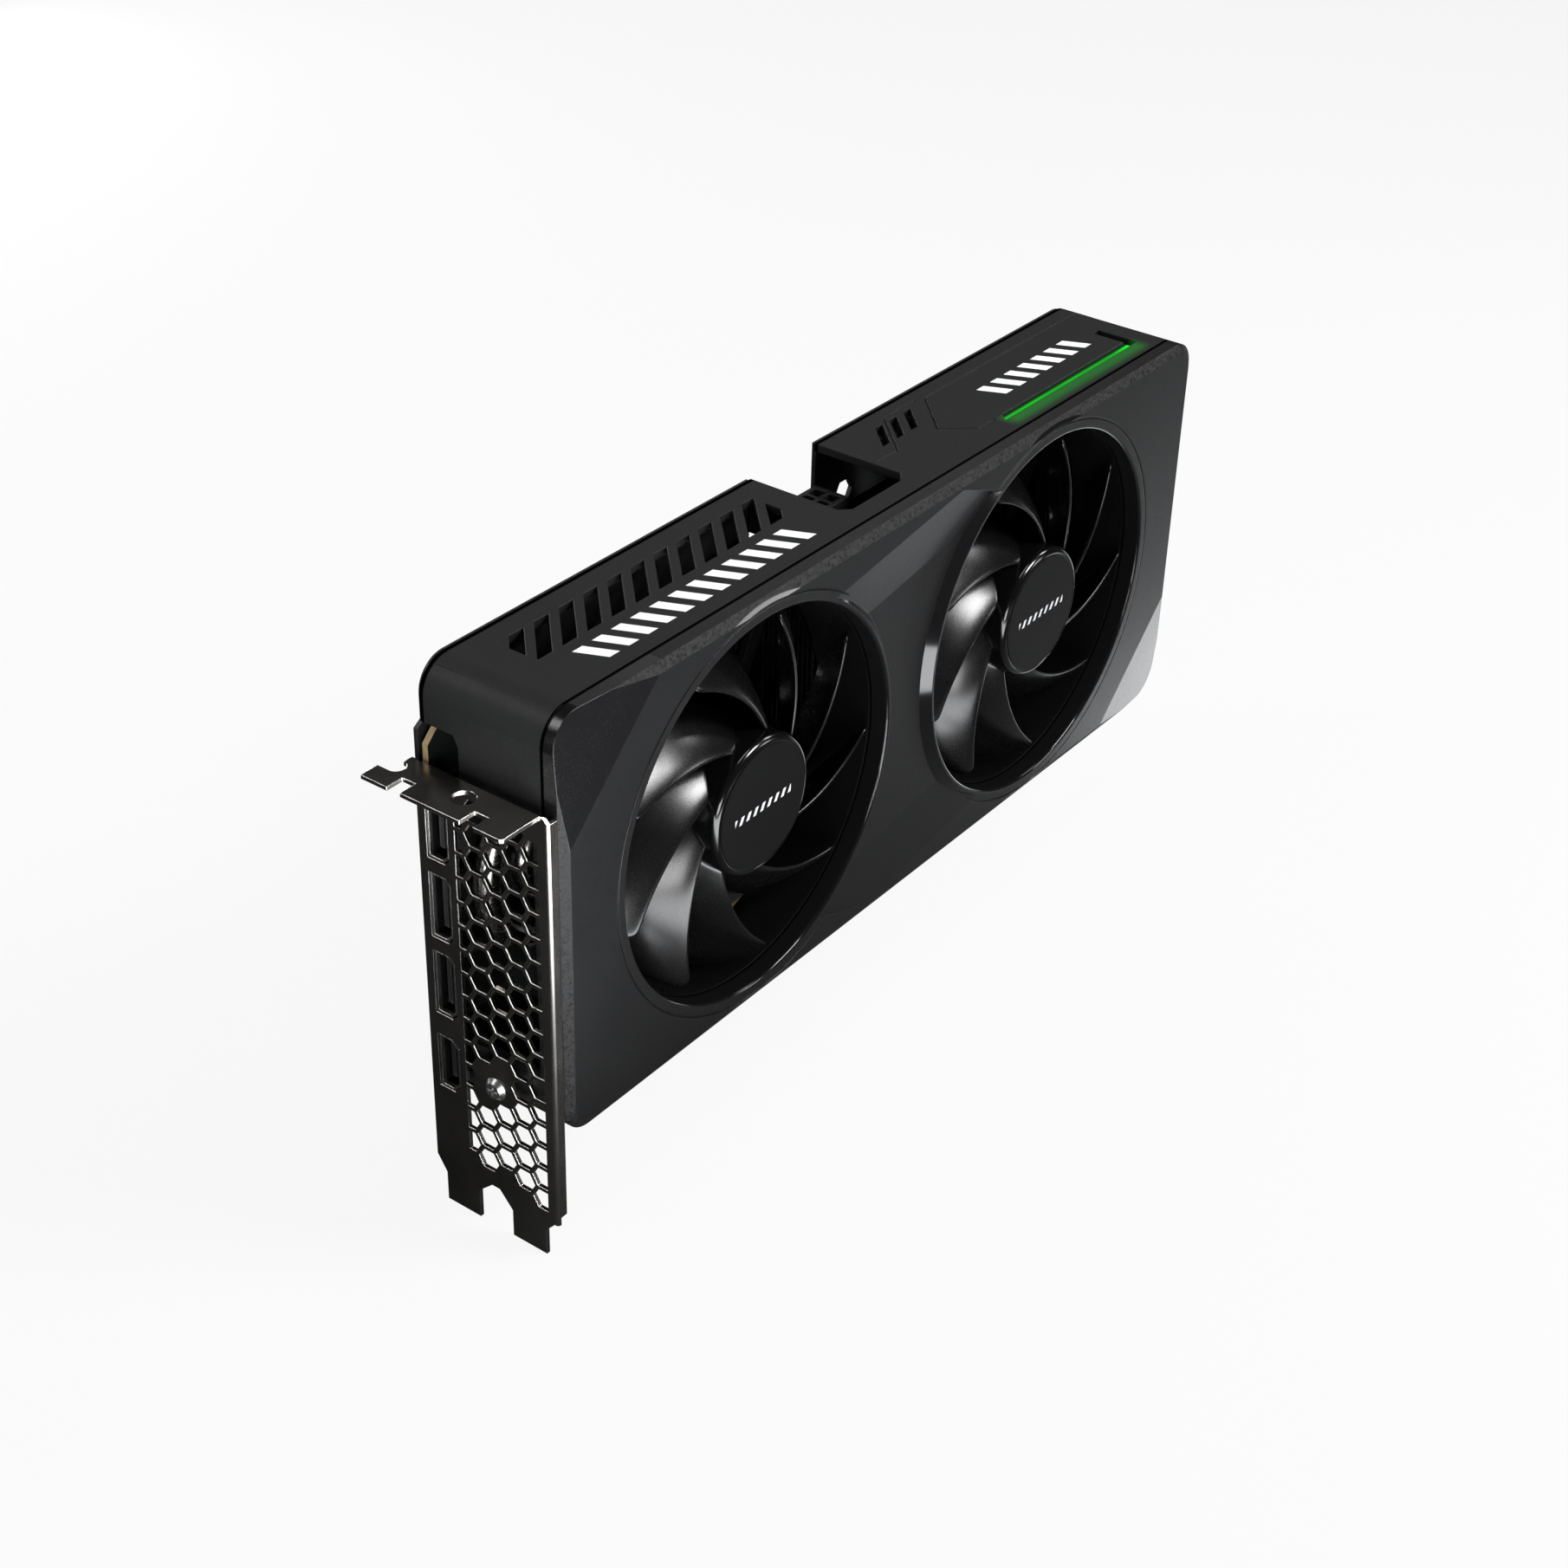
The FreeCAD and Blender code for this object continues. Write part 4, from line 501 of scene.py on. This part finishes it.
# ---------------------------------------------------------------- mesh building
def mesh_piece(name, points, faces, material, body, cad_node=None):
    """Smooth-shaded mesh object in the row frame, riding on a body."""
    mesh = bpy.data.meshes.new(name)
    mesh.from_pydata([tuple(point) for point in points], [], faces)
    mesh.update()
    for polygon in mesh.polygons:
        polygon.use_smooth = True
    mesh.materials.append(MATERIALS[material])
    piece = bpy.data.objects.new(name, mesh)
    bpy.context.scene.collection.objects.link(piece)
    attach(piece, body)
    if cad_node:
        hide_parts(cad_node)
    return piece


def subdivide(piece):
    """One round of subdivision, on screen and in renders."""
    modifier = piece.modifiers.new("smooth", "SUBSURF")
    modifier.levels = 1
    modifier.render_levels = 1


def arc_points(centre, radius, start, stop, steps):
    """Points on an arc, angles in degrees."""
    angles = [math.radians(start + (stop - start) * k / steps) for k in range(steps + 1)]
    return [(centre[0] + radius * math.cos(a), centre[1] + radius * math.sin(a)) for a in angles]


def lathe(profile, axis_point, sides=128):
    """Closed (radius, depth) loop turned about the card's depth; depth runs towards the fans."""
    points = []
    faces = []
    count = len(profile)
    for k in range(sides):
        turn = 2 * math.pi * k / sides
        for radius, depth in profile:
            points.append((axis_point.x + radius * math.cos(turn), depth,
                           axis_point.z + radius * math.sin(turn)))
        for j in range(count):
            here = k * count + j
            beside = k * count + (j + 1) % count
            total = sides * count
            faces.append((here, beside, (beside + count) % total, (here + count) % total))
    return points, faces


# ---------------------------------------------------------------- impellers
HUB_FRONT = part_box("fan_1_rotor")[0].y
HUB_BACK = HUB_FRONT + 17.4 * MM
HUB_WALL = 2.0 * MM
HUB_ROUNDING = 1.7 * MM
SHAFT_HOLE = 1.6 * MM
LABEL_GAP = 0.35 * MM
BLADES = 9
BLADE_FRONT = HUB_FRONT + 2.7 * MM
BLADE_ROOT = (11.4 * MM, -12.4 * MM)  # front edge where it meets the hub, from the fan's axis
BLADE_BEND = (29.5 * MM, -9.6 * MM)
BLADE_TIP = 46.6 * MM
TIP_TURN = 0.036
HALF_THICKNESS = 0.72 * MM
ROOT_DEPTH = 8.0 * MM
TIP_DEPTH = 14.1 * MM
ROOT_TWIST = 30.0
TIP_TWIST = 25.0
ROOT_SUNK = 1.0 * MM


def circle_through(first, second, third):
    """Centre and radius of the circle through three points of a plane."""
    (ax, ay), (bx, by), (cx, cy) = first, second, third
    twice = 2 * (ax * (by - cy) + bx * (cy - ay) + cx * (ay - by))
    sums = [x * x + y * y for x, y in (first, second, third)]
    x = (sums[0] * (by - cy) + sums[1] * (cy - ay) + sums[2] * (ay - by)) / twice
    y = (sums[0] * (cx - bx) + sums[1] * (ax - cx) + sums[2] * (bx - ax)) / twice
    return (x, y), math.hypot(ax - x, ay - y)


def blade_edge(share):
    """Front edge of a blade in the fan's face, swept from hub (0) to tip (1) along one arc."""
    tip = (BLADE_TIP * math.cos(TIP_TURN), BLADE_TIP * math.sin(TIP_TURN))
    centre, radius = circle_through(BLADE_ROOT, BLADE_BEND, tip)
    start = math.atan2(BLADE_ROOT[1] - centre[1], BLADE_ROOT[0] - centre[0])
    stop = math.atan2(tip[1] - centre[1], tip[0] - centre[0])
    turn = start + (stop - start) * share
    return centre[0] + radius * math.cos(turn), centre[1] + radius * math.sin(turn)


def blade_point(span, chord):
    """Middle surface of a blade: span runs hub to tip, chord front edge to back edge."""
    x, z = blade_edge(span)
    rounding = 0.16 * max(0.0, (span - 0.86) / 0.14) ** 2.5
    chord = rounding + (1 - 1.6 * rounding) * chord
    turn = -math.radians(ROOT_TWIST + (TIP_TWIST - ROOT_TWIST) * span) * chord ** 0.92
    depth = (ROOT_DEPTH + (TIP_DEPTH - ROOT_DEPTH) * min(1.0, 1.5 * span)) * chord ** 1.08
    depth += ROOT_SUNK * (1 - span) ** 3 * (1 - chord)
    return Vector((x * math.cos(turn) - z * math.sin(turn), BLADE_FRONT + depth,
                   x * math.sin(turn) + z * math.cos(turn)))


def blade_grid(spans=26, chords=16):
    """Closed blade mesh from its middle surface and a rounded thickness."""
    points = []
    faces = []
    step = 1e-3
    for side in (-1, 1):
        for i in range(spans + 1):
            for j in range(chords + 1):
                span = i / spans
                chord = min(max(j / chords, step), 1 - step)
                along = blade_point(min(span + step, 1), chord) - blade_point(max(span - step, 0), chord)
                across = blade_point(span, chord + step) - blade_point(span, chord - step)
                normal = along.cross(across).normalized()
                swell = math.sin(math.pi * (0.1 + 0.8 * j / chords)) ** 0.4
                thin = 1.0 - 0.2 * span
                points.append(blade_point(span, j / chords) + normal * side * HALF_THICKNESS * swell * thin)
    row = chords + 1
    sheet = (spans + 1) * row
    for i in range(spans):
        for j in range(chords):
            a = i * row + j
            faces.append((a, a + 1, a + row + 1, a + row))
            faces.append((sheet + a, sheet + a + row, sheet + a + row + 1, sheet + a + 1))
    rim = [i * row for i in range(spans + 1)] + [spans * row + j for j in range(1, row)]
    rim += [i * row + chords for i in range(spans - 1, -1, -1)] + [j for j in range(chords - 1, 0, -1)]
    for k, here in enumerate(rim):
        there = rim[(k + 1) % len(rim)]
        faces.append((here, there, there + sheet, here + sheet))
    return points, faces


def make_impeller(body):
    """Hub cup with a rounded rim and nine swept blades, as one moulding."""
    axis = FAN_AXES[body]
    recess = LABEL_RADIUS + LABEL_GAP
    floor = LABEL_HIGH.y
    profile = [(SHAFT_HOLE, floor), (recess, floor), (recess + 0.1 * MM, HUB_FRONT + 0.15 * MM),
               (recess + 0.3 * MM, HUB_FRONT)]
    profile += arc_points((HUB_RADIUS - HUB_ROUNDING, HUB_FRONT + HUB_ROUNDING), HUB_ROUNDING, -80, 0, 8)
    profile += [(HUB_RADIUS, HUB_BACK - 0.4 * MM), (HUB_RADIUS - 0.3 * MM, HUB_BACK),
                (MAGNET_RADIUS, HUB_BACK), (MAGNET_RADIUS, floor + HUB_WALL), (SHAFT_HOLE, floor + HUB_WALL)]
    points, faces = lathe(profile, axis)
    blade, blade_faces = blade_grid()
    for k in range(BLADES):
        turn = 2 * math.pi * k / BLADES
        offset = len(points)
        for point in blade:
            points.append((axis.x + point.x * math.cos(turn) - point.z * math.sin(turn), point.y,
                           axis.z + point.x * math.sin(turn) + point.z * math.cos(turn)))
        faces += [tuple(offset + index for index in face) for face in blade_faces]
    piece = mesh_piece(body + "_impeller", points, faces, "blade", body, body + "_rotor")
    subdivide(piece)
    return piece


for fan_body in FAN_AXES:
    make_impeller(fan_body)


# ---------------------------------------------------------------- stage
FLOOR_REACH = 6.0
FLOOR = cad_box[0].z


def floor_reflections(mat):
    """How strongly each spot of the floor glows when one of the card's faces mirrors it."""
    x, y, z = mat.split(mat.place)
    ahead = mat.span(y, BACK, FRONT, 0.1, 1.0, smooth=True)
    near = mat.span(y, FRONT - 165 * MM, FRONT - 95 * MM, 0.03, 1.0, smooth=True)
    bright = mat.span(x, 50 * MM, 340 * MM, 0.02, 0.3, smooth=True)
    wide = mat.math("MULTIPLY", mat.math("MULTIPLY", ahead, near), bright)

    far = mat.math("MULTIPLY", mat.span(y, FRONT - 330 * MM, FRONT - 290 * MM, 0.7, 0.0, smooth=True),
                   mat.inside(x, cad_box[0].x + 150 * MM, cad_box[0].x + 300 * MM, 40 * MM))

    tail = SHROUD_HIGH.x
    corner = mat.math("MULTIPLY", mat.span(x, tail - 20 * MM, tail + 30 * MM, 0.0, 2.5),
                      mat.inside(y, FRONT - 36 * MM, FRONT, 6 * MM))

    edge = mat.math("ADD", mat.math("MULTIPLY", mat.math("SUBTRACT", FRONT - 17 * MM, y), 0.65), 10 * MM)
    edge = mat.math("MINIMUM", edge, 84 * MM)
    left = mat.math("MULTIPLY", mat.span(mat.math("SUBTRACT", x, edge), -4 * MM, 4 * MM, 1.0, 0.0),
                    mat.inside(y, FRONT - 390 * MM, FRONT - 60 * MM, 8 * MM))
    left = mat.math("MULTIPLY", left, mat.span(y, FRONT - 140 * MM, FRONT - 90 * MM, 10.0, 0.4))
    return mat.math("ADD", mat.math("ADD", wide, far), mat.math("ADD", corner, left))


def joined(mat, kind, first, second, **inputs):
    """Two shaders put together by an add or a mix node."""
    made = mat.node(kind, **inputs)
    sockets = [socket for socket in made.inputs if socket.type == "SHADER"]
    mat.tree.links.new(first, sockets[0])
    mat.tree.links.new(second, sockets[1])
    return made.outputs[0]


def floor_paper():
    """Pale paper to the camera; to the card, a dark floor with a few soft bright patches."""
    mat = Shade("floor_paper", (0.8, 0.8, 0.8), 0.9)
    fibre = mat.noise(0.002, 3.0)
    mat.set("Base Color", mat.blend(mat.span(fibre, 0.3, 0.7), (0.86, 0.86, 0.86), (0.9, 0.9, 0.9)))
    glow = mat.node("Emission", Color=(1.0, 1.0, 1.0), Strength=PAPER_GLOW)
    dark = mat.node("BsdfDiffuse", Color=(0.03, 0.03, 0.03))
    patches = mat.node("Emission", Color=(0.96, 0.98, 1.0), Strength=floor_reflections(mat))
    mirrored = joined(mat, "AddShader", dark.outputs[0], patches.outputs[0])
    seen = joined(mat, "MixShader", mat.body.outputs[0], glow.outputs[0], Fac=0.93)
    to_camera = mat.node("LightPath").outputs["Is Camera Ray"]
    mat.tree.links.new(joined(mat, "MixShader", mirrored, seen, Fac=to_camera), mat.out.inputs[0])
    return mat.material


def make_floor():
    mesh = bpy.data.meshes.new("floor")
    corners = [(-FLOOR_REACH, -FLOOR_REACH, FLOOR), (FLOOR_REACH, -FLOOR_REACH, FLOOR),
               (FLOOR_REACH, FLOOR_REACH, FLOOR), (-FLOOR_REACH, FLOOR_REACH, FLOOR)]
    mesh.from_pydata(corners, [], [(0, 1, 2, 3)])
    mesh.materials.append(floor_paper())
    floor = bpy.data.objects.new("floor", mesh)
    bpy.context.scene.collection.objects.link(floor)


# ---------------------------------------------------------------- light
ROOM_LIGHT = 0.03
LIGHT_DISTANCE = 0.9
SOFTBOXES = [  # name, degrees round from straight ahead of the fans, degrees up, width, height, power
    ("overhead", 0, 86, 0.4, 0.4, 2.0),
    ("behind", 126, 33, 0.3, 0.3, 0.15),
    ("left_low", -47, 4, 0.4, 0.25, 3.8),
    ("right_high", 27, 43, 0.3, 0.25, 7.5),
    ("far_right", 70, 36, 0.2, 0.2, 1.5),
    ("right_low", 42, 8, 0.15, 0.2, 0.8),
    ("left_side", -105, 8, 0.3, 0.3, 0.6),
    ("left_behind", -133, 43, 0.3, 0.3, 1.5),
    ("rear_fill", 172, 6, 0.6, 0.3, 5.0),
]


def make_world():
    """Dim room light; straight at the camera the room looks like the same pale paper as the floor."""
    world = bpy.data.worlds.new("room")
    bpy.context.scene.world = world
    world.use_nodes = True
    room = world.node_tree.nodes["Background"]
    room.inputs["Color"].default_value = (1.0, 1.0, 1.0, 1.0)
    rays = world.node_tree.nodes.new("ShaderNodeLightPath")
    mix = world.node_tree.nodes.new("ShaderNodeMapRange")
    mix.inputs["To Min"].default_value = ROOM_LIGHT
    mix.inputs["To Max"].default_value = PAPER_GLOW
    world.node_tree.links.new(rays.outputs["Is Camera Ray"], mix.inputs["Value"])
    world.node_tree.links.new(mix.outputs["Result"], room.inputs["Strength"])


def direction(around, up):
    """Unit vector from the card: degrees round from straight ahead of the fans, and degrees up."""
    around = math.radians(around)
    up = math.radians(up)
    return Vector((math.sin(around) * math.cos(up), -math.cos(around) * math.cos(up), math.sin(up)))


def softbox(name, around, up, width, height, power):
    """Area light facing the card's middle, unseen by the camera."""
    data = bpy.data.lights.new(name, "AREA")
    data.shape = "RECTANGLE"
    data.size = width
    data.size_y = height
    data.energy = power
    light = bpy.data.objects.new(name, data)
    light.location = MIDDLE + direction(around, up) * LIGHT_DISTANCE
    light.rotation_mode = "QUATERNION"
    light.rotation_quaternion = (MIDDLE - light.location).to_track_quat("-Z", "Y")
    light.visible_camera = False
    bpy.context.scene.collection.objects.link(light)


# ---------------------------------------------------------------- camera
CAMERA_PLACE = (-0.3287, -0.3212, 0.2972)
CAMERA_AROUND = -53.88
CAMERA_UP = 32.57
CAMERA_ROLL = 1.65
LENS = 60.66
SENSOR = 36.0


def make_camera():
    data = bpy.data.cameras.new("camera")
    data.sensor_width = SENSOR
    data.lens = LENS
    data.clip_start = 0.01
    data.clip_end = 50.0
    camera = bpy.data.objects.new("camera", data)
    camera.location = CAMERA_PLACE
    camera.rotation_mode = "QUATERNION"
    level = (-direction(CAMERA_AROUND, CAMERA_UP)).to_track_quat("-Z", "Y")
    camera.rotation_quaternion = level @ Quaternion((0, 0, 1), math.radians(CAMERA_ROLL))
    bpy.context.scene.collection.objects.link(camera)
    bpy.context.scene.camera = camera


make_floor()
make_world()
for box in SOFTBOXES:
    softbox(*box)
make_camera()
bpy.context.scene.view_settings.view_transform = "Standard"
